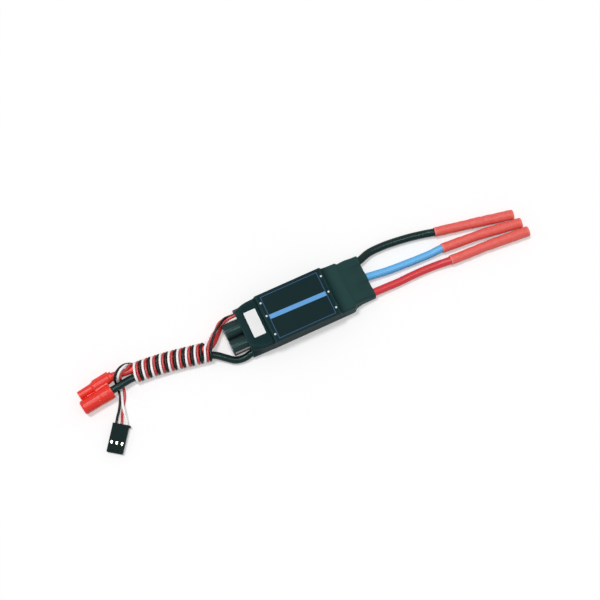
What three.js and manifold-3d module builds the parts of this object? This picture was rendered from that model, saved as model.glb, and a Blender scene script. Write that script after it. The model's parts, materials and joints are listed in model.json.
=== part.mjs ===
// Electronic speed controller for a brushless motor: a flat stack of two circuit boards under an
// aluminium heatsink plate, shrunk into one black sleeve, with three motor leads on the +X end and
// two battery leads, a wound servo lead and two capacitors on the -X end.
// Millimetres, +Z up. The origin is the middle of the underside of the sleeve.

import * as THREE from 'three';
import { mergeVertices } from 'three/addons/utils/BufferGeometryUtils.js';
import Module from 'manifold-3d';

const wasm = await Module();
wasm.setup();

// ---------------------------------------------------------------- driving dimensions

const clearance = 0.3;             // between pieces that only meet
const slip = 0.2;                  // between a capacitor and what it lies in
const seat = 0.1;                  // between a lead and what it lies against

// Heat-shrink sleeve over everything
const wall = 0.5;
const bodyWidth = 26;
const sleeveLeft = -29.2;
const sleeveRight = 37.25;
const blockLength = 34.8;          // the raised block over the heatsink plate
const blockEdge = 0.6;             // rounding of the block's long edges
const blockTaper = 0.35;           // how far each side of the block leans in towards its top
const shoulderTop = 9.6;           // beside the block, towards the capacitors
const rightEndTop = 5.4;           // where the sleeve closes on the motor leads
const rightEndNarrowing = 2.4;     // how much narrower than the body that end is
const rightEndShift = 0.9;         // the closed end sits a little off the middle line

// Boards and what is on them
const boardLeft = -22.5;
const boardRight = 25;
const boardGap = 0.8;              // between a board's edge and the sleeve
const powerThickness = 1.6;
const controlThickness = 1;
const controlLength = 24;
const controlNarrowing = 1;        // how much narrower the control board is
const chipSize = 7;
const chipHeight = 1;
const resonatorSize = [3.2, 1.6, 0.8];
const regulatorSize = [4.6, 4, 1.5];
const regulatorOffset = 5;         // from the middle line to each regulator
const headerSize = [2, 15];
const mosfetSize = [5, 6, 1.5];
const mosfetColumns = 6;
const mosfetRows = 2;
const mosfetRowPitch = 12;
const padThickness = 0.4;
const plateThickness = 2;
const plateInset = 0.4;            // from the ends of the block's inside to the plate

// Capacitors
const capacitorDiameter = 8;
const capacitorLength = 12;
const capacitorEnd = -25.25;
const capacitorMiddle = -0.85;     // Y of the line between the two
const capacitorGap = 0.1;
const capacitorLeadPitch = 3.5;
const capacitorLeadDiameter = 0.6;
const capacitorLeadEnd = -19;

// Leads
const motorLeadDiameter = 3.9;
const batteryLeadDiameter = 3.6;
const servoWireDiameter = 1.25;
const conductorDiameter = 2.4;
const servoConductorDiameter = 0.6;
const motorLeadY = [9.6, 0.5, -8];
const servoPadY = [6.6, 8.2, 9.8];
const powerJoint = { stub: 0.8, length: 7, width: 3.2, height: 2 };
const servoJoint = { stub: 0.6, length: 2.2, width: 1.3, height: 1 };

// Motor bullets and their sleeves
const bulletDiameter = 3.9;
const bulletBore = 3.5;
const bulletLength = 17;
const bulletRecess = 0.6;          // from the mouth of the sleeve to the bullet
const bulletSleeveDiameter = 5.2;
const bulletSleeveWall = 0.3;
const bulletCupDepth = 5;

// Battery plug
const plugPlace = { x: -96.9, y: 3.95, turn: 188 };
const plugBlock = { length: 6.8, left: 7, right: -5.3, corner: 1.8 };
const largeShroud = { side: 3.15, diameter: 7.5, bore: 5.6, tip: 17.2, chamfer: 0.7 };
const smallShroud = { side: -2.95, base: 4.8, mouth: 4.5, bore: 3.9, tip: 15.6 };
const plugLatch = { start: 1.4, end: 9.2, height: 0.45, width: 3 };
const plugPinDiameter = 3.5;
const plugPinTip = 15.4;
const plugSocketWall = 0.35;
const plugLeadDepth = 3.4;         // how far the leads go into the block

// Servo lead winding and plug
const pairSpacing = 3.9;           // the battery leads inside the winding
const servoPlugPlace = { x: -99.9, y: -15.75, turn: -125.6 };
const servoPlug = { length: 14, width: 7.8, height: 2.6 };
const contactPitch = 2.54;
const contactBore = 1.9;
const contactWidth = 1.3;
const contactLength = 11.5;
const contactRecess = 1.4;         // from the mating end to the contact
const windowPlace = 9.2;           // from the wire end to the latch windows
const windowSize = [1.7, 1.1];
const plugKey = 0.45;              // bevel along the plug's lower mating edges

// Sticker on the shoulder
const stickerSize = [6.1, 13.4, 0.1];
const stickerPlace = [-22.4, 0.7];

// ---------------------------------------------------------------- sizes that follow

const half = bodyWidth / 2;
const rightEndWidth = bodyWidth - rightEndNarrowing;
const boardWidth = bodyWidth - 2 * (wall + boardGap);
const controlWidth = boardWidth - controlNarrowing;
const blockEnd = blockLength / 2;
const plateEnd = blockEnd - wall - plateInset;
const mosfetPitch = (2 * plateEnd - mosfetSize[0]) / (mosfetColumns - 1);
const chipBase = wall;
const controlBase = chipBase + chipHeight;
const controlTop = controlBase + controlThickness;
const capacitorRadius = capacitorDiameter / 2;
const powerBase = wall + slip + capacitorRadius + capacitorLeadDiameter / 2;
const powerTop = powerBase + powerThickness;
const mosfetTop = powerTop + mosfetSize[2];
const padTop = mosfetTop + padThickness;
const plateTop = padTop + plateThickness;
const blockTop = plateTop + wall;
const capacitorZ = powerBase - capacitorLeadDiameter / 2;
const capacitorTop = capacitorZ + capacitorRadius + slip + wall;
const capacitorSpread = (capacitorDiameter + capacitorGap) / 2;
const conductorZ = powerBase - conductorDiameter / 2 - seat;
const servoWireZ = powerTop + servoWireDiameter / 2 + seat;
const windingHeight = batteryLeadDiameter + 2 * (servoWireDiameter + seat);
const windingZ = windingHeight / 2;
const sleeveZ = bulletSleeveDiameter / 2;
const motorLeadZ = motorLeadDiameter / 2 + seat;
const plugZ = largeShroud.diameter / 2;
const servoPlugZ = servoPlug.height / 2;

// ---------------------------------------------------------------- cord routes (chosen points)

// Middle line of the battery pair inside the winding
const windingRoute = [[-47.6, -1.25], [-54, -0.1], [-62, 1.45], [-70, 2.75], [-77, 3.6], [-83.6, 4.15]];

const batteryRoutes = {
  red: {
    body: [[9.2], [-26, 9.2, 3.2], [-29.2, 9.2, 2.7], [-33.2, 9.3, 2.2], [-36.8, 9.1, 1.95],
      [-39.2, 7, 2.3], [-41.6, 4.4, 2.7], [-44.2, 2, 3.05]],
    plug: [[-87.8, 6.3, 3.35], [-91.5, 6.7, 3.6], [-94.8, 7.05, 3.72]],
  },
  black: {
    body: [[-10.5], [-26, -10.5, 3.1], [-29.2, -10.5, 2.75], [-33, -11.1, 2.1], [-37.6, -10.3, 2],
      [-41.6, -7.3, 2.3], [-45, -4.6, 2.95]],
    plug: [[-87.8, 2.1, 3.35], [-91.5, 1.6, 3.6], [-94.2, 1.2, 3.72]],
  },
};

const motorLeadFall = [[31, 3.3], [sleeveRight, 2.7]];   // X and Z inside the sleeve
const motorLeadLanding = 2.25;                           // Z of the first point outside it

const motorRoutes = {
  black: { lead: [[43.8, 11.5], [51.5, 11.8], [58.9, 11.2], [66.1, 10.2], [73, 8.8]],
    start: [78, 7.4], bend: [98, 3.3], tip: [117.5, -0.8] },
  blue: { lead: [[42.5, 0], [48.4, -0.7], [56, -1.2], [64, -1.6], [71.7, -1.8]],
    start: [77.6, -1.7], bend: [99, -3.4], tip: [119.2, -6.3] },
  red: { lead: [[44.8, -8.1], [51, -8.2], [57.5, -8], [65, -8], [72.5, -8.4]],
    start: [78.6, -9.1], bend: [100, -10], tip: [120.4, -11.7] },
};

// Servo wires from the body to the winding: over the red battery lead, rolling over on the way
const servoStarts = {
  white: [[-25, 7.1, 7.4], [-29.2, 7.4, 6.85], [-33, 7.9, 5.65], [-36.4, 7.95, 4.8], [-38.6, 7.6, 4.95],
    [-41.4, 5.6, 5.15], [-43.8, 4.9, 4.7], [-46.5, 3.2, 4.5]],
  red: [[-25, 8.5, 7.3], [-29.2, 8.7, 7.3], [-33.2, 8.6, 6.9], [-36.4, 7.7, 6.2], [-40.5, 6.2, 6.5],
    [-43.8, 4.1, 6.1], [-45.6, 2.4, 5.75], [-46.6, 1.2, 5.65]],
  black: [[-25, 9.8, 6.9], [-29.2, 9.7, 5.95], [-32, 10, 5.5], [-34.2, 9.8, 6.4], [-36, 8.9, 7.5],
    [-37.9, 7.6, 7.8], [-40.4, 6, 7.8], [-42.7, 3.9, 7.4], [-44.7, 1.4, 6.7], [-46.1, -0.8, 6.1]],
};

// Servo wires from the winding to their plug: up the far side, over the red lead and down between the
// two leads, then under the black one
const servoEnds = {
  black: [[-83.75, 8.6, 0.72], [-84.3, 9.6, 0.9], [-85.3, 10, 1.4], [-86.6, 10.1, 2.5],
    [-87.9, 9.8, 3.9], [-89.2, 9.2, 5.2], [-90.7, 8.3, 6.2], [-92.3, 7.1, 6.6], [-93.5, 5.8, 6.05],
    [-94.15, 4.7, 4.9], [-94.35, 4.1, 3.6], [-94.45, 3.3, 2], [-94.6, 1.9, 1.05], [-94.8, 0, 0.7],
    [-95.1, -2.6, 0.7], [-96.6, -6, 0.7], [-98.5, -9.3, 0.9], [-100.2, -11.6, 1.1]],
  white: [[-85.6, 2.45, 0.65], [-85.65, 4.85, 0.65], [-85.72, 7.25, 0.85], [-85.75, 8.5, 1.8],
    [-85.8, 8.95, 3.2], [-86.25, 8.85, 4.6], [-87.15, 8.5, 6.1], [-88.3, 7.8, 7.2], [-89.8, 7.1, 7.6],
    [-91.2, 6.1, 7.1], [-92.2, 5.1, 6], [-92.7, 4.4, 4.6], [-92.85, 4.1, 3.4], [-92.95, 3.4, 1.9],
    [-93.1, 1.9, 1], [-93.4, 0, 0.8], [-93.9, -2.2, 1.35], [-94.6, -4.7, 1.95], [-95.5, -7.4, 2.25],
    [-96.1, -10.2, 2.2], [-96.6, -13, 1.8]],
  red: [[-84.35, 4, 0.65], [-84.4, 6, 0.65], [-84.42, 7.4, 0.9], [-84.48, 8.45, 1.8], [-84.5, 8.9, 3.2],
    [-84.75, 8.5, 4.4], [-85.5, 7.75, 5.4], [-86.8, 6.9, 5.85], [-88.1, 6.7, 6], [-89.4, 6.4, 6.1],
    [-90.4, 5.7, 6], [-91.1, 4.65, 5.45], [-91.45, 4.17, 4.3], [-91.6, 4.15, 3.2], [-91.7, 3.8, 2],
    [-91.8, 2.2, 1], [-92.05, 0, 0.7], [-92.6, -2.2, 0.7], [-93.7, -4.9, 0.7], [-95.8, -8.2, 0.7],
    [-98, -12, 0.9]],
};

// ---------------------------------------------------------------- materials

const finish = (color, roughness, metalness = 0) =>
  new THREE.MeshStandardMaterial({ color, roughness, metalness });

const materials = {
  blackShrink: finish(0x232c2d, 0.55),
  redShrink: finish(0xdc4a45, 0.6),
  blackSilicone: finish(0x17211f, 0.45),
  redSilicone: finish(0xcf2430, 0.45),
  blueSilicone: finish(0x5fb4ea, 0.45),
  whiteVinyl: finish(0xf2f2f0, 0.4),
  redVinyl: finish(0xb52a2c, 0.4),
  blackVinyl: finish(0x14110f, 0.4),
  redPlastic: finish(0xe8392b, 0.4),
  blackPlastic: finish(0x14211f, 0.5),
  gold: finish(0xd9a441, 0.25, 1),
  solder: finish(0xb9bcbf, 0.35, 1),
  aluminium: finish(0xb4b8bb, 0.45, 1),
  board: finish(0x17402f, 0.5),
  chip: finish(0x1a1a1c, 0.5),
  ceramic: finish(0xc9b78c, 0.6),
  thermalPad: finish(0x8d97a3, 0.8),
  capacitorSleeve: finish(0x16282a, 0.35),
  paper: finish(0xf4f4f1, 0.8),
};

// ---------------------------------------------------------------- shape helpers

const speedController = new THREE.Group();

function addMesh(parent, name, geometry, material) {
  const mesh = new THREE.Mesh(geometry, material);
  mesh.name = name;
  parent.add(mesh);
  return mesh;
}

// A group with its own frame: moved to (x, y, z) and turned about the vertical
function turnedGroup({ x, y, turn }, z) {
  const group = new THREE.Group();
  group.position.set(x, y, z);
  group.rotation.z = THREE.MathUtils.degToRad(turn);
  speedController.add(group);
  return group;
}

// A box given by its lowest and highest corners
function blockBetween(low, high) {
  const size = high.map((value, axis) => value - low[axis]);
  const geometry = new THREE.BoxGeometry(...size);
  return geometry.translate(...size.map((value, axis) => low[axis] + value / 2));
}

// A turned piece along +X from an outline of [distance along, radius]
function turnedPiece(outline, sides = 24) {
  const points = outline.map(([along, radius]) => new THREE.Vector2(radius, along));
  return new THREE.LatheGeometry(points, sides).rotateZ(-Math.PI / 2);
}

const rod = (start, end, radius, sides = 16) =>
  turnedPiece([[start, 0], [start, radius], [end, radius], [end, 0]], sides);

function toSolid(geometry) {
  const bare = geometry.clone();
  bare.deleteAttribute('normal');
  bare.deleteAttribute('uv');
  const merged = mergeVertices(bare, 1e-4);
  return new wasm.Manifold(new wasm.Mesh({
    numProp: 3,
    vertProperties: new Float32Array(merged.attributes.position.array),
    triVerts: new Uint32Array(merged.index.array),
  }));
}

function fromSolid(solid) {
  const { vertProperties, triVerts } = solid.getMesh();
  const geometry = new THREE.BufferGeometry();
  geometry.setAttribute('position', new THREE.BufferAttribute(vertProperties, 3));
  geometry.setIndex(new THREE.BufferAttribute(triVerts, 1));
  geometry.computeVertexNormals();
  return geometry;
}

const joined = (pieces) => pieces.map(toSolid).reduce((whole, piece) => whole.add(piece));
const cutAway = (solid, cutters) =>
  fromSolid(cutters.map(toSolid).reduce((left, cut) => left.subtract(cut), solid));

function circleShape(radius, sides) {
  const corners = Array.from({ length: sides }, (_, i) => {
    const angle = (i * 2 * Math.PI) / sides;
    return new THREE.Vector2(radius * Math.cos(angle), radius * Math.sin(angle));
  });
  return new THREE.Shape(corners);
}

const curveThrough = (points) =>
  new THREE.CatmullRomCurve3(points.map((point) => new THREE.Vector3(...point)), false, 'centripetal');

// A plain round cord through the points, with an optional bore
function cord(points, diameter, { sides = 12, diametersPerStep = 2.5, bore = 0 } = {}) {
  const path = curveThrough(points);
  const shape = circleShape(diameter / 2, sides);
  if (bore > 0) shape.holes.push(new THREE.Path(circleShape(bore / 2, sides).getPoints().reverse()));
  const steps = Math.ceil(path.getLength() / (diameter * diametersPerStep));
  return new THREE.ExtrudeGeometry(shape, { steps, extrudePath: path, bevelEnabled: false });
}

// A closed body from a closed loop of rings, each a list of the same number of points
function loopOfRings(rings) {
  const count = rings[0].length;
  const positions = rings.flat().flat();
  const index = [];
  rings.forEach((_, r) => {
    const next = (r + 1) % rings.length;
    for (let i = 0; i < count; i += 1) {
      const j = (i + 1) % count;
      const [a, b, c, d] = [r * count + i, r * count + j, next * count + j, next * count + i];
      index.push(a, b, c, a, c, d);
    }
  });
  const geometry = new THREE.BufferGeometry();
  geometry.setAttribute('position', new THREE.Float32BufferAttribute(positions, 3));
  geometry.setIndex(index);
  geometry.computeVertexNormals();
  return geometry;
}

// ---------------------------------------------------------------- heat-shrink sleeve

// One cross-section of the sleeve, drawn anticlockwise as seen from +X, and shrunk by inset
function sleeveRing({ x, low, high, top, shift = 0, foot = 1.6, edge }, inset) {
  const arcSteps = 4;
  const corners = [
    { y: low - inset - foot, z: inset + foot, radius: foot, from: -Math.PI / 2, side: 1 },
    { y: high - inset - edge, z: top - inset - edge, radius: edge, from: 0, side: 1 },
    { y: -(high - inset - edge), z: top - inset - edge, radius: edge, from: Math.PI / 2, side: -1 },
    { y: -(low - inset - foot), z: inset + foot, radius: foot, from: Math.PI, side: -1 },
  ];
  return corners.flatMap(({ y, z, radius, from }) =>
    Array.from({ length: arcSteps + 1 }, (_, i) => {
      const angle = from + (i * Math.PI) / 2 / arcSteps;
      return [x, shift + y + radius * Math.cos(angle), z + radius * Math.sin(angle)];
    }));
}

function sleeveStations() {
  const blockHigh = half - blockTaper;
  const stepLength = 0.5;          // the shrink bridges the foot of the block over this length
  const tight = rightEndWidth / 2;
  return [
    { x: sleeveLeft, low: half, high: half - 2.2, top: capacitorTop, foot: 2.6, edge: 2.6 },
    { x: sleeveLeft + 2, low: half, high: half - 1.7, top: shoulderTop, foot: 2.6, edge: 2.4 },
    { x: boardLeft - 1.2, low: half, high: half - 0.8, top: shoulderTop, foot: 2.2, edge: 1.6 },
    { x: boardLeft + 1, low: half, high: half - 0.6, top: shoulderTop, edge: 1.4 },
    { x: -blockEnd - stepLength, low: half, high: half - 0.5, top: shoulderTop, edge: 1.2 },
    { x: -blockEnd, low: half, high: blockHigh, top: blockTop - blockEdge / 2, edge: blockEdge },
    { x: -blockEnd + blockEdge / 2, low: half, high: blockHigh, top: blockTop, edge: blockEdge },
    { x: blockEnd - blockEdge / 2, low: half, high: blockHigh, top: blockTop, edge: blockEdge },
    { x: blockEnd, low: half, high: blockHigh, top: blockTop - blockEdge / 2, edge: blockEdge },
    { x: blockEnd + stepLength, low: half, high: half - 0.5, top: shoulderTop - 0.7, edge: 1.2 },
    { x: boardRight + 0.2, low: half - 0.1, high: half - 0.6, top: shoulderTop - 1.4, edge: 1.2 },
    { x: boardRight + 1.6, low: tight + 0.3, high: tight - 0.5, top: shoulderTop - 1.9, edge: 1.6,
      shift: rightEndShift / 2 },
    { x: (boardRight + sleeveRight) / 2, low: tight, high: tight - 0.5,
      top: (shoulderTop + rightEndTop) / 2 - 0.6, edge: 1.6, shift: rightEndShift },
    { x: sleeveRight, low: tight, high: tight - 0.3, top: rightEndTop, edge: 1.3, shift: rightEndShift },
  ];
}

function addSleeve() {
  const stations = sleeveStations();
  const outside = stations.map((station) => sleeveRing(station, 0));
  const inside = stations.map((station) => sleeveRing(station, wall)).reverse();
  addMesh(speedController, 'body_sleeve', loopOfRings([...outside, ...inside]), materials.blackShrink);
}

function addSticker() {
  const [length, width, thickness] = stickerSize;
  const [x, y] = stickerPlace;
  const geometry = blockBetween(
    [x - length / 2, y - width / 2, shoulderTop],
    [x + length / 2, y + width / 2, shoulderTop + thickness],
  );
  addMesh(speedController, 'serial_sticker', geometry, materials.paper);
}

// ---------------------------------------------------------------- boards and heatsink

function addHeatsink() {
  const side = half - blockTaper - wall - blockEdge;
  addMesh(speedController, 'heatsink_plate',
    blockBetween([-plateEnd, -side, padTop], [plateEnd, side, plateTop]), materials.aluminium);
  addMesh(speedController, 'thermal_pad',
    blockBetween([-plateEnd, -side, mosfetTop], [plateEnd, side, padTop]), materials.thermalPad);
}

function addPowerBoard() {
  addMesh(speedController, 'power_board', blockBetween(
    [boardLeft, -boardWidth / 2, powerBase], [boardRight, boardWidth / 2, powerTop]), materials.board);
  for (let row = 0; row < mosfetRows; row += 1) {
    for (let column = 0; column < mosfetColumns; column += 1) {
      const x = (column - (mosfetColumns - 1) / 2) * mosfetPitch;
      const y = (row - (mosfetRows - 1) / 2) * mosfetRowPitch;
      const name = `mosfet_${row * mosfetColumns + column + 1}`;
      addMesh(speedController, name, blockBetween(
        [x - mosfetSize[0] / 2, y - mosfetSize[1] / 2, powerTop],
        [x + mosfetSize[0] / 2, y + mosfetSize[1] / 2, mosfetTop]), materials.chip);
    }
  }
}

function addControlBoard() {
  addMesh(speedController, 'control_board', blockBetween(
    [-controlLength / 2, -controlWidth / 2, controlBase],
    [controlLength / 2, controlWidth / 2, controlTop]), materials.board);
  addMesh(speedController, 'microcontroller', blockBetween(
    [-chipSize / 2, -chipSize / 2, chipBase], [chipSize / 2, chipSize / 2, controlBase]), materials.chip);
  const resonatorX = chipSize / 2 + 1;
  addMesh(speedController, 'resonator', blockBetween(
    [resonatorX, -resonatorSize[1] / 2, controlBase - resonatorSize[2]],
    [resonatorX + resonatorSize[0], resonatorSize[1] / 2, controlBase]), materials.ceramic);
  [-1, 1].forEach((side, i) => {
    const [length, width, height] = regulatorSize;
    const y = side * regulatorOffset;
    addMesh(speedController, `regulator_${i + 1}`, blockBetween(
      [-length / 2, y - width / 2, controlTop], [length / 2, y + width / 2, controlTop + height]),
    materials.chip);
    const x = side * (controlLength / 2 - headerSize[0]);
    addMesh(speedController, `pin_header_${i + 1}`, blockBetween(
      [x - headerSize[0] / 2, -headerSize[1] / 2, controlTop],
      [x + headerSize[0] / 2, headerSize[1] / 2, powerBase]), materials.blackPlastic);
  });
}

// ---------------------------------------------------------------- capacitors

// A can with a rolled groove near its lead end and a rounded far end, lying along X
function addCapacitors() {
  const radius = capacitorRadius;
  const end = capacitorEnd - capacitorLength;
  const [edge, groove] = [0.5, 0.35];
  const outline = [
    [end, 0], [end, radius - edge], [end + edge, radius],
    [capacitorEnd - 2.6, radius], [capacitorEnd - 2, radius - groove], [capacitorEnd - 1.4, radius],
    [capacitorEnd - edge, radius], [capacitorEnd, radius - edge], [capacitorEnd, 0],
  ];
  const leadRadius = capacitorLeadDiameter / 2;
  const lead = (y) => rod(capacitorEnd - edge, capacitorLeadEnd, leadRadius, 8).translate(0, y, 0);
  [1, -1].forEach((side, i) => {
    const solid = joined([turnedPiece(outline), lead(capacitorLeadPitch / 2), lead(-capacitorLeadPitch / 2)]);
    const mesh = addMesh(speedController, `capacitor_${i + 1}`, fromSolid(solid), materials.capacitorSleeve);
    mesh.position.set(0, capacitorMiddle + side * capacitorSpread, capacitorZ);
  });
}

// ---------------------------------------------------------------- soldered ends inside the sleeve

// A bed of solder on its pad with the bare conductor lying in it, along +X from the stub's end.
// The pad lies in the plane z = 0 and the conductor's middle is lift above it.
function solderJoint({ stub, length, width, height, conductor, lift }) {
  const bed = new THREE.Shape();
  bed.absellipse(0, 0, width / 2, height, 0, Math.PI, false);
  bed.closePath();
  const mound = new THREE.ExtrudeGeometry(bed, { depth: length, bevelEnabled: false, curveSegments: 8 })
    .rotateX(Math.PI / 2).rotateZ(Math.PI / 2).translate(stub, 0, 0);
  const wire = rod(0, stub + length * 0.8, conductor / 2, 12).translate(0, 0, lift);
  return fromSolid(joined([mound, wire]));
}

function addPowerJoint(name, x, y, direction) {
  const geometry = solderJoint({ ...powerJoint, conductor: conductorDiameter, lift: powerBase - conductorZ });
  const mesh = addMesh(speedController, name, geometry, materials.solder);
  mesh.position.set(x, y, powerBase);
  mesh.rotation.set(Math.PI, 0, direction > 0 ? 0 : Math.PI);
}

function addSolderJoints() {
  Object.keys(motorRoutes).forEach((color, i) =>
    addPowerJoint(`motor_joint_${color}`, boardRight + clearance, motorLeadY[i], -1));
  Object.entries(batteryRoutes).forEach(([color, route]) =>
    addPowerJoint(`battery_joint_${color}`, boardLeft - clearance, route.body[0][0], 1));
  Object.keys(servoStarts).forEach((color, i) => {
    const geometry = solderJoint({
      ...servoJoint, conductor: servoConductorDiameter, lift: servoWireZ - powerTop });
    const mesh = addMesh(speedController, `servo_joint_${color}`, geometry, materials.solder);
    mesh.position.set(boardLeft + 0.8, servoPadY[i], powerTop);
  });
}

// ---------------------------------------------------------------- motor leads, bullets and sleeves

const bulletBack = bulletRecess + bulletLength;

const silicone = {
  black: materials.blackSilicone, blue: materials.blueSilicone, red: materials.redSilicone };

function pointTowards(from, to, distance) {
  const [start, end] = [new THREE.Vector2(...from), new THREE.Vector2(...to)];
  const point = start.clone().add(end.sub(start).setLength(distance));
  return [point.x, point.y];
}

function addMotorLead(color, i) {
  const route = motorRoutes[color];
  const y = motorLeadY[i];
  const leadEnd = pointTowards(route.tip, route.bend, bulletBack + clearance);
  const points = [
    [boardRight + 2 * clearance, y, conductorZ],
    ...motorLeadFall.map(([x, z]) => [x, y, z]),
    ...route.lead.map(([x, leadY], n) => [x, leadY, n === 0 ? motorLeadLanding : motorLeadZ]),
    [...route.start, sleeveZ],
    [...route.bend, sleeveZ],
    [...leadEnd, sleeveZ],
  ];
  addMesh(speedController, `motor_lead_${color}`, cord(points, motorLeadDiameter), silicone[color]);

  const sleevePoints = [route.start, pointTowards(route.start, route.bend, 9), route.bend, leadEnd, route.tip]
    .map(([x, sleeveY]) => [x, sleeveY, sleeveZ]);
  addMesh(speedController, `motor_bullet_sleeve_${color}`, cord(sleevePoints, bulletSleeveDiameter,
    { bore: bulletSleeveDiameter - 2 * bulletSleeveWall, diametersPerStep: 1.6 }), materials.redShrink);

  const [along, across] = [route.tip[0] - route.bend[0], route.tip[1] - route.bend[1]];
  const turn = THREE.MathUtils.radToDeg(Math.atan2(across, along));
  const group = turnedGroup({ x: route.tip[0], y: route.tip[1], turn }, sleeveZ);
  addMesh(group, `motor_bullet_${color}`, motorBullet(), materials.gold);
}

// A gold-plated socket: open bore towards the tip and a solder cup at the back
function motorBullet() {
  const [front, back] = [-bulletRecess, -bulletBack];
  const [outer, bore] = [bulletDiameter / 2, bulletBore / 2];
  const cupFloor = back + bulletCupDepth;
  const boreFloor = cupFloor + 1.5;
  return turnedPiece([
    [cupFloor, 0], [cupFloor, bore - 0.2], [back, bore - 0.2], [back, outer], [front - 0.3, outer],
    [front, outer - 0.1], [front, bore], [boreFloor, bore], [boreFloor, 0],
  ], 16);
}

// ---------------------------------------------------------------- battery leads and plug

const plugTurn = THREE.MathUtils.degToRad(plugPlace.turn);

// A place in the battery plug's own frame, as a point of the whole
function inPlug(along, side) {
  const point = new THREE.Vector2(along, side).rotateAround(new THREE.Vector2(), plugTurn);
  return [plugPlace.x + point.x, plugPlace.y + point.y, plugZ];
}

// The winding's middle line: each point with the level direction it runs in there
const windingLine = windingRoute.map(([x, y], i, route) => {
  const [before, after] = [route[Math.max(i - 1, 0)], route[Math.min(i + 1, route.length - 1)]];
  return { x, y, along: new THREE.Vector2(after[0] - before[0], after[1] - before[1]).normalize() };
});

// A point beside that line: sideways with +Y positive, and up
const besideLine = ({ x, y, along }, sideways, up = 0) =>
  [x + along.y * sideways, y - along.x * sideways, windingZ + up];

function addBatteryLead(color, offset, shroud, material) {
  const route = batteryRoutes[color];
  const [joint, ...bodyPoints] = route.body;
  const points = [
    [boardLeft - 2 * clearance, joint[0], conductorZ],
    ...bodyPoints,
    ...windingLine.map((place) => besideLine(place, offset)),
    ...route.plug,
    inPlug(0, shroud.side),
    inPlug(plugLeadDepth, shroud.side),
  ];
  const lead = cord(points, batteryLeadDiameter, { diametersPerStep: 1.6 });
  addMesh(speedController, `battery_lead_${color}`, lead, material);
}

function roundedBlock({ length, left, right, corner }, height) {
  const [low, high] = [-height / 2, height / 2];
  const outline = new THREE.Shape();
  outline.moveTo(right + corner, low);
  outline.lineTo(left - corner, low);
  outline.absarc(left - corner, low + corner, corner, -Math.PI / 2, 0, false);
  outline.absarc(left - corner, high - corner, corner, 0, Math.PI / 2, false);
  outline.absarc(right + corner, high - corner, corner, Math.PI / 2, Math.PI, false);
  outline.absarc(right + corner, low + corner, corner, Math.PI, 1.5 * Math.PI, false);
  return new THREE.ExtrudeGeometry(outline, { depth: length, bevelEnabled: false, curveSegments: 5 })
    .rotateX(Math.PI / 2).rotateZ(Math.PI / 2);
}

function addBatteryPlug() {
  const group = turnedGroup(plugPlace, plugZ);
  const { length } = plugBlock;
  const [large, small] = [largeShroud, smallShroud];
  const root = length - 1;
  const body = joined([
    roundedBlock(plugBlock, large.diameter),
    turnedPiece([[root, 0], [root, large.diameter / 2], [large.tip - large.chamfer, large.diameter / 2],
      [large.tip, large.diameter / 2 - large.chamfer], [large.tip, 0]]).translate(0, large.side, 0),
    turnedPiece([[root, 0], [root, small.base / 2], [small.tip, small.mouth / 2], [small.tip, 0]])
      .translate(0, small.side, 0),
    blockBetween([plugLatch.start, plugBlock.right - plugLatch.height, -plugLatch.width / 2],
      [plugLatch.end, small.side, plugLatch.width / 2]),
  ]);
  const leadHole = batteryLeadDiameter / 2 + clearance;
  const leadFloor = plugLeadDepth + clearance / 2;
  const pinHole = plugPinDiameter / 2 + clearance;
  const housing = cutAway(body, [
    rod(-1, leadFloor, leadHole, 24).translate(0, large.side, 0),
    rod(-1, leadFloor, leadHole, 24).translate(0, small.side, 0),
    rod(leadFloor - 1, length + 3, pinHole, 24).translate(0, large.side, 0),
    rod(length + 2, large.tip + 1, large.bore / 2, 24).translate(0, large.side, 0),
    rod(leadFloor - 1, small.tip + 1, small.bore / 2, 24).translate(0, small.side, 0),
  ]);
  addMesh(group, 'battery_plug_housing', housing, materials.redPlastic);

  const pin = plugPinDiameter / 2;
  const pinStart = plugLeadDepth + 2 * clearance;
  addMesh(group, 'battery_bullet_pin', turnedPiece([
    [pinStart, 0], [pinStart, pin], [length + 1.5, pin], [length + 2, pin - 0.4], [length + 2.6, pin - 0.4],
    [length + 3.4, pin], [plugPinTip - 1.2, pin], [plugPinTip, pin - 0.9], [plugPinTip, 0]], 16)
    .translate(0, large.side, 0), materials.gold);

  const socket = small.bore / 2 - clearance;
  const socketBore = socket - plugSocketWall;
  const socketFloor = length;
  addMesh(group, 'battery_bullet_socket', turnedPiece([
    [pinStart, 0], [pinStart, socket], [small.tip - 0.5, socket], [small.tip - 0.5, socketBore],
    [socketFloor, socketBore], [socketFloor, 0]], 16)
    .translate(0, small.side, 0), materials.gold);
}

// ---------------------------------------------------------------- servo lead

// The outer shape of the servo lead's turns around the battery pair, open along the middle
function addWinding() {
  const straight = pairSpacing / 2;
  const arcSteps = 8;
  const ring = (place, radius) => [straight, -straight].flatMap((middle, end) =>
    Array.from({ length: arcSteps + 1 }, (_, i) => {
      const angle = (i / arcSteps + end - 0.5) * Math.PI;
      return besideLine(place, middle + radius * Math.cos(angle), radius * Math.sin(angle));
    }));
  const outside = windingLine.map((place) => ring(place, windingHeight / 2)).reverse();
  const inside = windingLine.map((place) => ring(place, batteryLeadDiameter / 2 + clearance));
  addMesh(speedController, 'servo_lead_winding', loopOfRings([...outside, ...inside]), materials.redVinyl);
}

const vinyl = { white: materials.whiteVinyl, red: materials.redVinyl, black: materials.blackVinyl };
const contactSide = { black: -contactPitch, red: 0, white: contactPitch };

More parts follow.
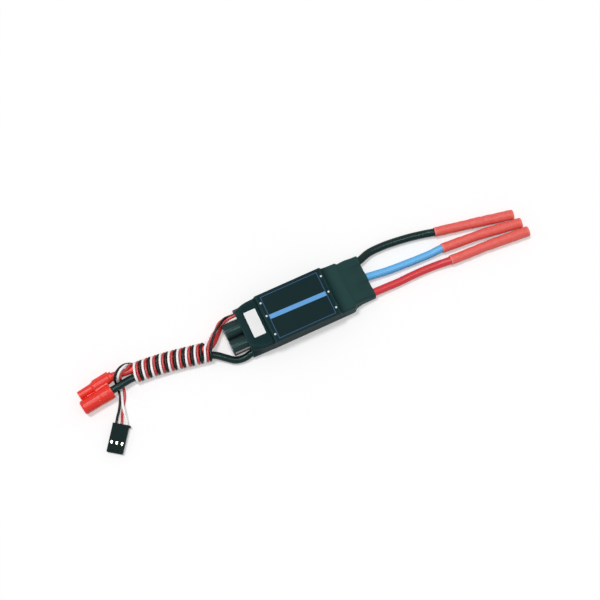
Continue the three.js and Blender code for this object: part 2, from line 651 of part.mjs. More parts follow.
function addServoWires() {
  const wire = { sides: 8, diametersPerStep: 2.2 };
  Object.keys(servoStarts).forEach((color, i) => {
    const points = [[boardLeft + 0.5, servoPadY[i], servoWireZ], ...servoStarts[color]];
    addMesh(speedController, `servo_wire_${color}_start`,
      cord(points, servoWireDiameter, wire), vinyl[color]);
  });
  const turn = THREE.MathUtils.degToRad(servoPlugPlace.turn);
  const back = servoPlug.length - contactRecess - contactLength;
  Object.keys(servoEnds).forEach((color) => {
    const inHousing = [-1.2, back - clearance].map((along) => {
      const point = new THREE.Vector2(along, contactSide[color]).rotateAround(new THREE.Vector2(), turn);
      return [servoPlugPlace.x + point.x, servoPlugPlace.y + point.y, servoPlugZ];
    });
    addMesh(speedController, `servo_wire_${color}_end`,
      cord([...servoEnds[color], ...inHousing], servoWireDiameter, wire), vinyl[color]);
  });
}

function addServoPlug() {
  const group = turnedGroup(servoPlugPlace, servoPlugZ);
  const { length, width, height } = servoPlug;
  const bores = Object.values(contactSide).map((side) => blockBetween(
    [-1, side - contactBore / 2, -contactBore / 2], [length + 1, side + contactBore / 2, contactBore / 2]));
  const windows = Object.values(contactSide).map((side) => blockBetween(
    [windowPlace - windowSize[0] / 2, side - windowSize[1] / 2, 0],
    [windowPlace + windowSize[0] / 2, side + windowSize[1] / 2, height]));
  const keyLength = 5;
  const keySide = plugKey * Math.SQRT2;
  const keys = [-1, 1].map((side) => new THREE.BoxGeometry(keyLength * 2, keySide, keySide)
    .rotateX(Math.PI / 4).translate(length, (side * width) / 2, -height / 2));
  const block = toSolid(blockBetween([0, -width / 2, -height / 2], [length, width / 2, height / 2]));
  const housing = cutAway(block, [...bores, ...windows, ...keys]);
  addMesh(group, 'servo_plug_housing', housing, materials.blackPlastic);

  const reach = contactWidth / 2;
  const end = length - contactRecess;
  const start = end - contactLength;
  const holeSide = 0.7;
  Object.entries(contactSide).forEach(([color, side]) => {
    const contact = cutAway(
      joined([
        blockBetween([start + 4, -reach, -reach], [end, reach, reach]),
        rod(start, start + 4.5, servoWireDiameter / 2, 12),
      ]),
      [blockBetween([start + 6, -holeSide / 2, -holeSide / 2], [end + 1, holeSide / 2, holeSide / 2])],
    );
    addMesh(group, `servo_contact_${color}`, contact.translate(0, side, 0), materials.gold);
  });
}

// ---------------------------------------------------------------- assembly

addSleeve();
addSticker();
addHeatsink();
addPowerBoard();
addControlBoard();
addCapacitors();
addSolderJoints();
Object.keys(motorRoutes).forEach(addMotorLead);
addBatteryLead('red', pairSpacing / 2, smallShroud, materials.redSilicone);
addBatteryLead('black', -pairSpacing / 2, largeShroud, materials.blackSilicone);
addBatteryPlug();
addWinding();
addServoWires();
addServoPlug();

export default speedController;
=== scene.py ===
import json
import math

import bmesh
import bpy
from mathutils import Matrix, Vector, noise


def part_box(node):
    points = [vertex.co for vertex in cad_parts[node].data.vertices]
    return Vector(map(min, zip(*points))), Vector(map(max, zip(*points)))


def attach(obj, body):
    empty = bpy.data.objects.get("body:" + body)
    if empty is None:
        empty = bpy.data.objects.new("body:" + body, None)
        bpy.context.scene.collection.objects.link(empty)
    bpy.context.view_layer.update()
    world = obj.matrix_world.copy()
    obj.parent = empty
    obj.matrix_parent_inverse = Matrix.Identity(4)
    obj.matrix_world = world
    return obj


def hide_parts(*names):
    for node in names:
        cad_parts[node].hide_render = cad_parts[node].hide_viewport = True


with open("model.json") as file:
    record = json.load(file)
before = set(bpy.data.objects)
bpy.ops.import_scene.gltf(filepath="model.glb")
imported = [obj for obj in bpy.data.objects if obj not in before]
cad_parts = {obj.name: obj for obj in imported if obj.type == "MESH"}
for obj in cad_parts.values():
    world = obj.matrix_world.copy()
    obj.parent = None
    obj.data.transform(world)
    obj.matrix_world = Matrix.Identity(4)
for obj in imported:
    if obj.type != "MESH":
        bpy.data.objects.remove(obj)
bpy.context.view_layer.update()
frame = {"nodes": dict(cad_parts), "record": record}


# ---------------------------------------------------------------- camera
# A long lens, high over the near side of the speed controller and turned a little to
# its left, so that it lies slanting across the view with all its leads.

mm = 0.001               # sizes are in millimetres here, and become metres in the meshes
camera_turn = math.radians(-25)
camera_rise = math.radians(74)
camera_distance = 650
camera_aim = Vector((0.8, 1.3, 5))
view_width = 291         # what the view takes in at the point it is aimed at


def placed(name, data):
    """A new object, put in the scene."""
    item = bpy.data.objects.new(name, data)
    bpy.context.scene.collection.objects.link(item)
    return item


camera = bpy.data.cameras.new("camera")
camera.lens = camera.sensor_width * camera_distance / view_width
camera.shift_x = 0.0033
camera.shift_y = 0.0083
camera_object = placed("camera", camera)
towards_camera = Vector((
    math.sin(camera_turn) * math.cos(camera_rise),
    -math.cos(camera_turn) * math.cos(camera_rise),
    math.sin(camera_rise)))
camera_object.location = (camera_aim + towards_camera * camera_distance) * mm
camera_object.rotation_mode = "QUATERNION"
camera_object.rotation_quaternion = (-towards_camera).to_track_quat("-Z", "Y")
bpy.context.scene.camera = camera_object


# ---------------------------------------------------------------- circuit boards
# Two green boards with black chips and solder joints on them, a soft heat-conducting pad
# over the power transistors and a rolled aluminium plate on that. They were soldered and
# stacked before the sleeve was shrunk round them, so little of them shows.

def linear(red, green, blue):
    """A colour in everyday 0 to 255 steps, as the plain light values a shader takes."""
    steps = [value / 255 for value in (red, green, blue)]
    return tuple(v / 12.92 if v <= 0.04045 else ((v + 0.055) / 1.055) ** 2.4 for v in steps)


def new_group(name, inputs, outputs):
    """An empty node group with number inputs and their values, and the outputs named."""
    group = bpy.data.node_groups.new(name, "ShaderNodeTree")
    for label, value in inputs.items():
        socket = group.interface.new_socket(label, in_out="INPUT", socket_type="NodeSocketFloat")
        socket.default_value = value
    for label in outputs:
        group.interface.new_socket(label, in_out="OUTPUT", socket_type="NodeSocketFloat")
    return group, group.nodes.new("NodeGroupInput"), group.nodes.new("NodeGroupOutput")


def reckoned(tree, operation, first, second, clamp=False):
    """The result of one sum on two values, each of them a number or a socket."""
    node = tree.nodes.new("ShaderNodeMath")
    node.operation = operation
    node.use_clamp = clamp
    for socket, value in zip(node.inputs, (first, second)):
        if isinstance(value, bpy.types.NodeSocket):
            tree.links.new(value, socket)
        else:
            socket.default_value = value
    return node.outputs[0]


# Fine grain and slow patches that any moulded or drawn surface has. Grain Size and Patch
# Size are in metres, and Stretch draws both out along the object's length.
surface_grain, grain_in, grain_out = new_group(
    "surface_grain", {"Grain Size": 0.2 * mm, "Patch Size": 4 * mm, "Stretch": 1.0}, ("Grain", "Patches"))
grain_place = surface_grain.nodes.new("ShaderNodeTexCoord")
grain_scale = surface_grain.nodes.new("ShaderNodeCombineXYZ")
grain_scale.inputs["Y"].default_value = 1
grain_scale.inputs["Z"].default_value = 1
surface_grain.links.new(
    reckoned(surface_grain, "DIVIDE", 1, grain_in.outputs["Stretch"]), grain_scale.inputs["X"])
grain_drawn = surface_grain.nodes.new("ShaderNodeVectorMath")
grain_drawn.operation = "MULTIPLY"
surface_grain.links.new(grain_place.outputs["Object"], grain_drawn.inputs[0])
surface_grain.links.new(grain_scale.outputs[0], grain_drawn.inputs[1])
for size_name, result_name, detail in (("Grain Size", "Grain", 3), ("Patch Size", "Patches", 2)):
    cloud = surface_grain.nodes.new("ShaderNodeTexNoise")
    cloud.inputs["Detail"].default_value = detail
    per_metre = reckoned(surface_grain, "DIVIDE", 1, grain_in.outputs[size_name])
    surface_grain.links.new(grain_drawn.outputs[0], cloud.inputs["Vector"])
    surface_grain.links.new(per_metre, cloud.inputs["Scale"])
    surface_grain.links.new(cloud.outputs["Fac"], grain_out.inputs[result_name])

# Where an edge stands out it is painted paler: partly wear, and partly a painted highlight along the edge
worn_and_highlit_edges, edge_in, edge_out = new_group("worn_and_highlit_edges", {"Reach": 0.06}, ("Worn And Highlit",))
edge_shape = worn_and_highlit_edges.nodes.new("ShaderNodeNewGeometry")
off_flat = reckoned(worn_and_highlit_edges, "SUBTRACT", edge_shape.outputs["Pointiness"], 0.5)
edge_share = reckoned(worn_and_highlit_edges, "DIVIDE", off_flat, edge_in.outputs["Reach"], clamp=True)
worn_and_highlit_edges.links.new(edge_share, edge_out.inputs["Worn And Highlit"])


def blend_colours(tree, share, first, second):
    """A mix of two colours, or of a colour and another mix, by a mask from 0 to 1."""
    mix = tree.nodes.new("ShaderNodeMix")
    mix.data_type = "RGBA"
    tree.links.new(share, mix.inputs["Factor"])
    for label, colour in (("A", first), ("B", second)):
        socket = next(s for s in mix.inputs if s.name == label and s.type == "RGBA")
        if isinstance(colour, tuple):
            socket.default_value = (*linear(*colour), 1)
        else:
            tree.links.new(colour, socket)
    return next(s for s in mix.outputs if s.type == "RGBA")


def span_of(tree, value, low, high):
    """A mask from 0 to 1, spread over low to high."""
    reach = tree.nodes.new("ShaderNodeMapRange")
    reach.inputs["To Min"].default_value = low
    reach.inputs["To Max"].default_value = high
    tree.links.new(value, reach.inputs["Value"])
    return reach.outputs["Result"]


def make_finish(name, colour, patch_colour, roughness, grain=0.2, patch=4, stretch=1, relief=0.01,
                rubbed_and_highlit=None, **sockets):
    """A material in two close tones with a fine relief. roughness is (least, most), and
    sockets are values of the shader's own, such as Metallic=1."""
    material = bpy.data.materials.new(name)
    material.use_nodes = True
    tree = material.node_tree
    shader = tree.nodes["Principled BSDF"]
    for label, value in sockets.items():
        shader.inputs[label.replace("_", " ")].default_value = value
    surface = tree.nodes.new("ShaderNodeGroup")
    surface.node_tree = surface_grain
    surface.inputs["Grain Size"].default_value = grain * mm
    surface.inputs["Patch Size"].default_value = patch * mm
    surface.inputs["Stretch"].default_value = stretch
    tone = blend_colours(tree, surface.outputs["Patches"], colour, patch_colour)
    # The edge colour paints standing edges paler: partly wear, and partly a painted highlight
    if rubbed_and_highlit:
        edges = tree.nodes.new("ShaderNodeGroup")
        edges.node_tree = worn_and_highlit_edges
        tone = blend_colours(tree, edges.outputs["Worn And Highlit"], tone, rubbed_and_highlit)
    tree.links.new(tone, shader.inputs["Base Color"])
    tree.links.new(span_of(tree, surface.outputs["Patches"], *roughness), shader.inputs["Roughness"])
    bump = tree.nodes.new("ShaderNodeBump")
    bump.inputs["Distance"].default_value = relief * mm
    tree.links.new(surface.outputs["Grain"], bump.inputs["Height"])
    tree.links.new(bump.outputs["Normal"], shader.inputs["Normal"])
    return material


def recolour(material, share, colour):
    """Lays one more colour over a material, by a mask from 0 to 1."""
    base = material.node_tree.nodes["Principled BSDF"].inputs["Base Color"]
    tone = base.links[0].from_socket
    material.node_tree.links.new(blend_colours(material.node_tree, share, tone, colour), base)


def coat(piece, material):
    """Gives the whole piece one material."""
    piece.data.materials.clear()
    piece.data.materials.append(material)


# Green resist with the copper tracks under it showing as a paler net
board_resist = make_finish("board_resist", (18, 66, 44), (22, 76, 50), (0.3, 0.42), Coat_Weight=0.3)
resist_tree = board_resist.node_tree
track_place = resist_tree.nodes.new("ShaderNodeTexCoord")
tracks = resist_tree.nodes.new("ShaderNodeTexBrick")
tracks.inputs["Scale"].default_value = 1 / (6 * mm)
tracks.inputs["Mortar Size"].default_value = 0.04
tracks.inputs["Mortar Smooth"].default_value = 0.1
resist_tree.links.new(track_place.outputs["Object"], tracks.inputs["Vector"])
recolour(board_resist, tracks.outputs["Fac"], (46, 118, 74))

chip_black = make_finish("chip_black", (27, 27, 29), (34, 34, 36), (0.45, 0.6), relief=0.02)
header_black = make_finish("header_black", (20, 24, 24), (27, 31, 31), (0.35, 0.5))
tan_ceramic = make_finish("tan_ceramic", (201, 183, 140), (190, 170, 128), (0.5, 0.65))
grey_pad = make_finish("grey_pad", (141, 151, 163), (128, 138, 151), (0.75, 0.9), relief=0.04)
bright_solder = make_finish("bright_solder", (196, 199, 202), (172, 176, 180), (0.2, 0.42),
                            grain=0.5, relief=0.05, Metallic=1)
rolled_plate = make_finish("rolled_plate", (184, 187, 190), (166, 170, 174), (0.3, 0.5),
                           stretch=14, Metallic=1)

# The first word of a node's name says what it is made of
board_finishes = {
    "power_board": board_resist, "control_board": board_resist, "microcontroller": chip_black,
    "mosfet": chip_black, "regulator": chip_black, "pin_header": header_black,
    "resonator": tan_ceramic, "thermal_pad": grey_pad, "heatsink_plate": rolled_plate,
    "motor_joint": bright_solder, "battery_joint": bright_solder, "servo_joint": bright_solder}
chip_edge = 0.12
for node_name, node in frame["nodes"].items():
    for start, material in board_finishes.items():
        if node_name.startswith(start):
            coat(node, material)
            if material is chip_black:
                edge = node.modifiers.new("edge", "BEVEL")
                edge.width = chip_edge * mm
                edge.segments = 2


# ---------------------------------------------------------------- capacitors
# Two aluminium cans side by side in dark plastic sleeves. Each is rolled in round its
# rubber bung near the leads, and its other end is bare, scored so that it can vent.

def box_of(node_name):
    """The lowest and highest corners of a CAD node, in millimetres."""
    return [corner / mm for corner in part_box(node_name)]


def fitted(name, data, stands_for):
    """A mesh or curve as a piece on the one body, in place of the CAD nodes it stands for."""
    piece = placed(name, data)
    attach(piece, "root")
    if stands_for:
        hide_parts(*stands_for)
    return piece


def new_piece(name, mesh, material, stands_for=(), sharp=40):
    """A mesh as a piece, smooth but for edges sharper than that many degrees."""
    for face in mesh.polygons:
        face.use_smooth = True
    mesh.set_sharp_from_angle(angle=math.radians(sharp))
    piece = fitted(name, mesh, stands_for)
    coat(piece, material)
    return piece


def mesh_of(name, form):
    """The mesh of a bmesh that is done with."""
    mesh = bpy.data.meshes.new(name)
    form.to_mesh(mesh)
    form.free()
    return mesh


def loft(name, rings, closed=False):
    """A mesh through rings of equally many points: a loop of rings if it is closed, and
    otherwise capped at both ends."""
    count = len(rings[0])
    points = [point * mm for ring in rings for point in ring]
    faces = []
    for r in range(len(rings) if closed else len(rings) - 1):
        here = r * count
        there = (r + 1) % len(rings) * count
        for i in range(count):
            j = (i + 1) % count
            faces.append((here + i, here + j, there + j, there + i))
    if not closed:
        faces.append(tuple(range(count))[::-1])
        faces.append(tuple(range(len(points) - count, len(points))))
    skin = bpy.data.meshes.new(name)
    skin.from_pydata(points, [], faces)
    form = bmesh.new()
    form.from_mesh(skin)
    bpy.data.meshes.remove(skin)
    bmesh.ops.recalc_face_normals(form, faces=form.faces)
    return mesh_of(name, form)


def turned(name, outline, place=Matrix.Identity(4), sides=56):
    """A mesh turned about the X axis from (along, radius) points, then put in its place."""
    angles = [2 * math.pi * i / sides for i in range(sides)]
    return loft(name, [
        [place @ Vector((along, radius * math.cos(a), radius * math.sin(a))) for a in angles]
        for along, radius in outline])


def rounded(corners, radius, steps=4):
    """An (along, radius) outline with each inner corner rounded off."""
    outline = [corners[0]]
    for before, corner, after in zip(corners, corners[1:], corners[2:]):
        middle = Vector(corner)
        back, on = Vector(before) - middle, Vector(after) - middle
        reach = min(radius, back.length / 2.01, on.length / 2.01)
        start = middle + back.normalized() * reach
        end = middle + on.normalized() * reach
        for i in range(steps + 1):
            t = i / steps
            outline.append(tuple(start * (1 - t) ** 2 + middle * 2 * t * (1 - t) + end * t ** 2))
    return outline + [corners[-1]]


def block(name, low, high, place=Matrix.Identity(4)):
    """A box mesh between two corners, for cutting with and for building up a moulding."""
    box = bmesh.new()
    bmesh.ops.create_cube(box, size=1)
    for corner in box.verts:
        share = corner.co + Vector((0.5, 0.5, 0.5))
        corner.co = place @ Vector([a + (b - a) * s for a, b, s in zip(low, high, share)]) * mm
    box.normal_update()
    bmesh.ops.recalc_face_normals(box, faces=box.faces)
    return mesh_of(name, box)


def combine(mesh, others, operation):
    """The mesh after the others are joined to it (UNION) or cut from it (DIFFERENCE)."""
    whole = placed("whole", mesh)
    helpers = [placed("helper", other) for other in others]
    for helper in helpers:
        step = whole.modifiers.new("step", "BOOLEAN")
        step.operation = operation
        step.object = helper
        step.solver = "EXACT"
    return settled(whole, helpers)


def settled(whole, helpers=()):
    """The mesh that an object's modifiers make of it. The object and its helpers go."""
    bpy.context.view_layer.update()
    shown = whole.evaluated_get(bpy.context.evaluated_depsgraph_get())
    result = bpy.data.meshes.new_from_object(shown)
    for item in (whole, *helpers):
        bpy.data.objects.remove(item)
    return result


green_black = {"Specular_Tint": (0.6, 1, 0.96, 1)}      # a cool green cast in the gloss of black
# Its rims are painted paler, partly as wear and partly as a painted highlight
capacitor_sleeve = make_finish(
    "capacitor_sleeve", (5, 13, 14), (8, 18, 19), (0.22, 0.3), patch=3, relief=0.006,
    rubbed_and_highlit=(74, 102, 104), Specular_IOR_Level=0.14, **green_black)
can_aluminium = make_finish("can_aluminium", (198, 201, 204), (178, 182, 186), (0.25, 0.4), Metallic=1)
bung_rubber = make_finish("bung_rubber", (24, 25, 25), (32, 33, 33), (0.6, 0.75))
stripe_print = make_finish("stripe_print", (158, 146, 146), (140, 132, 132), (0.4, 0.5))

can_length = 12
can_radius = 4
groove_place = can_length - 2      # the middle of the rolled groove, from the bare end
groove_depth = 0.45
bare_radius = can_radius - 0.75    # the sleeve folds in that far over both ends
sleeve_turn_in = 0.35
score_cuts = [(can_radius - 1.4, 0.11), (0.11, can_radius - 1.4)]
lead_pitch = 3.5
lead_radius = 0.3
stripe_angle = {1: math.radians(-200), 2: math.radians(-62)}   # about X, from the top
stripe_width = 0.3                 # as an angle
stripe_steps = 6

for number in (1, 2):
    node_name = f"capacitor_{number}"
    low, high = box_of(node_name)
    place = Matrix.Translation((low.x, (low.y + high.y) / 2, (low.z + high.z) / 2))
    sleeve_outline = rounded([
        (sleeve_turn_in, bare_radius), (0, bare_radius), (0, can_radius), (groove_place - 1, can_radius),
        (groove_place, can_radius - groove_depth), (groove_place + 1, can_radius),
        (can_length, can_radius), (can_length, bare_radius), (can_length - sleeve_turn_in, bare_radius),
    ], 0.45, 6)
    new_piece(f"{node_name}_sleeve", turned(node_name, sleeve_outline, place, 72),
              capacitor_sleeve, [node_name])

    end_outline = rounded([(0.6, bare_radius), (0.18, bare_radius), (0.18, 0.2)], 0.15)
    scores = [block("score", (-1, -wide, -tall), (0.3, wide, tall), place) for wide, tall in score_cuts]
    end_mesh = combine(turned("can_end", end_outline, place), scores, "DIFFERENCE")
    new_piece(f"{node_name}_end", end_mesh, can_aluminium, sharp=20)

    bung = turned("bung", [(can_length - 0.6, bare_radius), (can_length - 0.15, bare_radius)], place, 48)
    new_piece(f"{node_name}_bung", bung, bung_rubber)

    pins = [turned("pin", [(can_length - 0.4, lead_radius), (high.x - low.x, lead_radius)],
                   place @ Matrix.Translation((0, side * lead_pitch / 2, 0)), 16) for side in (1, -1)]
    new_piece(f"{node_name}_leads", combine(pins[0], pins[1:], "UNION"), bright_solder)

    # The printed stripe that marks the negative lead, as a thin skin on the sleeve
    stripe_rings = []
    for along in (0.7, groove_place - 1.3):
        ring = []
        for radius, direction in ((can_radius + 0.03, 1), (can_radius - 0.05, -1)):
            for step in range(stripe_steps + 1)[::direction]:
                angle = stripe_angle[number] + (step / stripe_steps - 0.5) * stripe_width
                ring.append(place @ Vector((along, math.sin(angle) * radius, math.cos(angle) * radius)))
        stripe_rings.append(ring)
    new_piece(f"{node_name}_stripe", loft("stripe", stripe_rings), stripe_print)


# ---------------------------------------------------------------- heat-shrink sleeve
# One piece of black film, slid over the boards, the plate and the capacitors and shrunk
# tight with hot air. It stands up over the plate as a block, steps in past the end of the
# board, closes on the motor leads, and is left open round the capacitors.

film_wall = 0.5
plate_to_block_end = 0.9           # plate inset and film, beyond the end of the plate
sleeve_low, sleeve_high = box_of("body_sleeve")
board_low, board_high = box_of("power_board")
block_end = box_of("heatsink_plate")[1].x + plate_to_block_end
block_top = sleeve_high.z
shoulder_top = box_of("serial_sticker")[0].z
mouth_top = box_of("capacitor_1")[1].z + 0.7
half_width = sleeve_high.y
end_shift = 0.9                    # the end on the leads sits a little off the middle line
ridge_height = 1.1
wave_height, ripple_height, side_wave = 0.16, 0.03, 0.12


def row_of(node_name):
    """The middle of a CAD node across the body, in metres."""
    low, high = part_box(node_name)
    return (low.y + high.y) / 2


motor_lead_rows = {colour: row_of(f"motor_joint_{colour}") / mm for colour in ("black", "blue", "red")}

# Each station: x, how far each side is in from the full width low down and at the top, the
# height, the radius along the foot and along the upper edge, and the shift sideways
film_stations = [
    (sleeve_low.x, 0, 2.2, mouth_top, 2.6, 2.6, 0),
    (sleeve_low.x + 2, 0, 1.7, shoulder_top, 2.6, 2.4, 0),
    (board_low.x - 1.2, 0, 0.8, shoulder_top, 2.2, 1.6, 0),
    (board_low.x + 1, 0, 0.6, shoulder_top, 1.6, 1.4, 0),
    (-block_end - 1.1, 0, 0.5, shoulder_top, 1.6, 1.2, 0),
    (-block_end - 0.4, 0, 0.45, shoulder_top + 0.3, 1.6, 1, 0),
    (-block_end, 0, 0.35, block_top - 0.35, 1.6, 0.7, 0),
    (-block_end + 0.3, 0, 0.35, block_top - 0.06, 1.6, 0.6, 0),
    (-block_end + 0.7, 0, 0.35, block_top, 1.6, 0.6, 0),
    (block_end - 0.7, 0, 0.35, block_top, 1.6, 0.6, 0),
    (block_end - 0.3, 0, 0.35, block_top - 0.06, 1.6, 0.6, 0),
    (block_end, 0, 0.35, block_top - 0.4, 1.6, 0.7, 0),
    (block_end + 0.6, 0, 0.45, block_top - 1.7, 1.6, 1.1, 0),
    (block_end + 1.6, 0, 0.5, block_top - 2.25, 1.6, 1.2, 0),
    (board_high.x - 2, 0, 0.6, block_top - 2.65, 1.6, 1.2, 0),
    (board_high.x + 0.2, 0.1, 0.6, block_top - 2.8, 1.6, 1.2, 0),
    (board_high.x + 1.6, 0.9, 1.7, block_top - 3.3, 1.6, 1.6, end_shift / 2),
    (board_high.x + 6, 1.2, 1.7, block_top - 4.1, 1.6, 1.6, end_shift),
    (sleeve_high.x, 1.2, 1.5, 5.4, 1.6, 1.3, end_shift),
]


def film_size(x):
    """The station's sizes at x, run smoothly between the ones above without overshooting."""
    places = [station[0] for station in film_stations]
    i = max(0, min(len(places) - 2, sum(place <= x for place in places) - 1))
    sizes = []
    for column in range(1, len(film_stations[0])):
        values = [station[column] for station in film_stations]
        slopes = [(b - a) / (q - p) for a, b, p, q in zip(values, values[1:], places, places[1:])]

        def run(k):
            if k in (0, len(values) - 1) or slopes[k - 1] * slopes[k] <= 0:
                return 0.0
            return 2 * slopes[k - 1] * slopes[k] / (slopes[k - 1] + slopes[k])

        span = places[i + 1] - places[i]
        t = max(0.0, min(1.0, (x - places[i]) / span))
        sizes.append(
            values[i] * (1 + 2 * t) * (1 - t) ** 2 + run(i) * span * t * (1 - t) ** 2
            + values[i + 1] * t * t * (3 - 2 * t) - run(i + 1) * span * t * t * (1 - t))
    return sizes


def eased(value, start, end):
    """0 before start and 1 after end, turning smoothly between them."""
    t = max(0.0, min(1.0, (value - start) / (end - start)))
    return t * t * (3 - 2 * t)


def film_wave(x, y, z):
    """The slow waves left by the hot air, from about -1 to 1, and how far the place is off
    the flat block, from 0 to 1."""
    off_block = eased(abs(x), block_end - 0.5, block_end + 3)
    return noise.noise(Vector((x, y * 1.3, z * 1.3)) / 5.5), off_block


def film_ring(x, inset):
    """One cross-section of the film, at x and inset from its outside."""
    low_in, high_in, top, foot, edge, shift = film_size(x)
    low, high = half_width - low_in, half_width - high_in
    corner_steps, top_steps, base_steps, side_steps = 8, 44, 12, 4
    corners = [
        (low - inset - foot, inset + foot, foot, -math.pi / 2, side_steps),
        (high - inset - edge, top - inset - edge, edge, 0, top_steps),
        (-(high - inset - edge), top - inset - edge, edge, math.pi / 2, side_steps),
        (-(low - inset - foot), inset + foot, foot, math.pi, base_steps)]
    ring = []
    for (y, z, radius, start, steps), following in zip(corners, corners[1:] + corners[:1]):
        for i in range(corner_steps + 1):
            angle = start + math.pi / 2 * i / corner_steps
            ring.append(Vector((x, y + radius * math.cos(angle), z + radius * math.sin(angle))))
        y, z, radius, start, _ = following
        last = ring[-1]
        first = Vector((x, y + radius * math.cos(start), z + radius * math.sin(start)))
        ring.extend(last.lerp(first, i / steps) for i in range(1, steps))

    # Over the motor leads the film stands in ridges, and it is drawn down between them
    drawn = eased(x, board_high.x + 2, sleeve_high.x) * ridge_height
    for point in ring:
        height = eased(point.z, 2, top * 0.8)
        nearest = min(abs(point.y + shift - row) for row in motor_lead_rows.values())
        point.z -= drawn * height * eased(nearest, 1.2, 3.4)
        point.y += shift
        waves, off_block = film_wave(*point)
        ripples = noise.noise(point / 1.9 + Vector((7, 3, 1)))
        point.z += (waves * wave_height + ripples * ripple_height) * height * off_block
        point.y -= math.copysign(side_wave * (0.5 + waves) * off_block * (1 - height), point.y)
    return ring


film_step = 0.45
film_length = sleeve_high.x - sleeve_low.x
film_count = round(film_length / film_step)
film_places = [sleeve_low.x + film_length * i / film_count for i in range(film_count + 1)]
film_places += [-block_end + offset for offset in (-0.7, -0.55, -0.3, -0.15, 0.1, 0.2)]
film_places += [block_end + offset for offset in (-0.2, -0.1, 0.15, 0.3, 0.5, 0.7)]
film_places = sorted(film_places)[1:-1]
rim = [(0.12, 0), (0, 0.14), (0, film_wall - 0.14), (0.12, film_wall)]
film_rings = [film_ring(sleeve_low.x + back, inset) for back, inset in reversed(rim)]
film_rings += [film_ring(x, 0) for x in film_places]
film_rings += [film_ring(sleeve_high.x - back, inset) for back, inset in rim]
film_rings += [film_ring(x, film_wall) for x in reversed(film_places)]

# Past the block, towards the motor leads, the film is painted paler: a painted highlight on its slope there
black_film = make_finish(
    "black_film", (10, 31, 35), (15, 38, 41), (0.44, 0.58), grain=0.35, patch=7, relief=0.02,
    rubbed_and_highlit=(44, 72, 72), Specular_IOR_Level=0.08, **green_black)
film_tree = black_film.node_tree
film_place = film_tree.nodes.new("ShaderNodeTexCoord")
film_axes = film_tree.nodes.new("ShaderNodeSeparateXYZ")
film_tree.links.new(film_place.outputs["Object"], film_axes.inputs[0])
painted_highlight_share = span_of(film_tree, film_axes.outputs["X"], 0, 1)
painted_highlight_share.node.interpolation_type = "SMOOTHSTEP"
painted_highlight_share.node.inputs["From Min"].default_value = (block_end - 1) * mm
painted_highlight_share.node.inputs["From Max"].default_value = (block_end + 5) * mm
# a painted highlight on the film's slope past the block
recolour(black_film, painted_highlight_share, (37, 63, 62))
new_piece("shrink_sleeve", loft("shrink_sleeve", film_rings, closed=True), black_film,
          ["body_sleeve"], 60)


# ---------------------------------------------------------------- print on the block
# The film is printed before it is shrunk: a thin blue frame round the face of the block, a
# pale blue band across it and pale dots beside the frame. The wording is left out.

frame_half = 15
frame_near, frame_far = -11.6, 11
frame_line = 0.35
band_left = (-1.1, 1.2)
band_right = (-1.7, 0.5)
dot_radius = 0.5
dot_sides = 20
dot_places = [(16.2, 8.2), (16.2, -0.4), (16.2, -9), (-15.9, 8.1), (-15.9, 1.1), (-15.9, -8.8)]


def print_flat(name, outlines, material, rise=0.02):
    """Thin printed shapes on the block's face, each an outline of (x, y) points."""
    ink = bmesh.new()
    for outline in outlines:
        lower, upper = [[ink.verts.new(Vector((x, y, z)) * mm) for x, y in outline]
                        for z in (block_top - rise, block_top + rise)]
        ink.faces.new(lower[::-1])
        ink.faces.new(upper)
        for i in range(len(outline)):
            j = (i + 1) % len(outline)
            ink.faces.new((lower[i], lower[j], upper[j], upper[i]))
    bmesh.ops.recalc_face_normals(ink, faces=ink.faces)
    new_piece(name, mesh_of(name, ink), material)


def rectangle(left, near, right, far):
    return [(left, near), (right, near), (right, far), (left, far)]


panel_ink = make_finish("panel_ink", (9, 27, 31), (14, 33, 36), (0.42, 0.52), patch=5,
                        Specular_IOR_Level=0.08, **green_black)
frame_blue = make_finish("frame_blue", (34, 70, 104), (42, 82, 118), (0.4, 0.5), patch=2,
                         Specular_IOR_Level=0.2)
band_blue = make_finish("band_blue", (78, 146, 208), (92, 160, 218), (0.4, 0.5), patch=3,
                        Specular_IOR_Level=0.3)
dot_white = make_finish("dot_white", (214, 226, 226), (196, 210, 212), (0.4, 0.5), patch=1)
inner = frame_half - frame_line
inner_near, inner_far = frame_near + frame_line, frame_far - frame_line
print_flat("printed_frame", [
    rectangle(-frame_half, frame_near, frame_half, inner_near),
    rectangle(-frame_half, inner_far, frame_half, frame_far),
    rectangle(-frame_half, inner_near, -inner, inner_far),
    rectangle(inner, inner_near, frame_half, inner_far)], frame_blue)
print_flat("printed_panel", [rectangle(-inner, inner_near, inner, inner_far)], panel_ink, 0.01)
print_flat("printed_band", [[(-inner, band_left[0]), (inner, band_right[0]), (inner, band_right[1]),
                             (-inner, band_left[1])]], band_blue)
dot_angles = [2 * math.pi * i / dot_sides for i in range(dot_sides)]
print_flat("printed_dots", [
    [(x + dot_radius * math.cos(a), y + dot_radius * math.sin(a)) for a in dot_angles]
    for x, y in dot_places], dot_white)


# ---------------------------------------------------------------- sticker
# A plain white paper sticker on the shoulder beside the block, put on by hand after the
# sleeve was shrunk, so it follows the film's slight waves. What was on it is left out.

sticker_low, sticker_high = box_of("serial_sticker")
sticker_corner = 0.2
sticker_rows = 13
sticker_columns = 7
sticker_paper = make_finish("sticker_paper", (240, 241, 240), (232, 234, 233), (0.7, 0.85),
                            grain=0.12, relief=0.008)


def film_lift(x, y):
    """How far the film stands above the shoulder's level there."""
    waves, off_block = film_wave(x, y, shoulder_top)
    return waves * wave_height * off_block


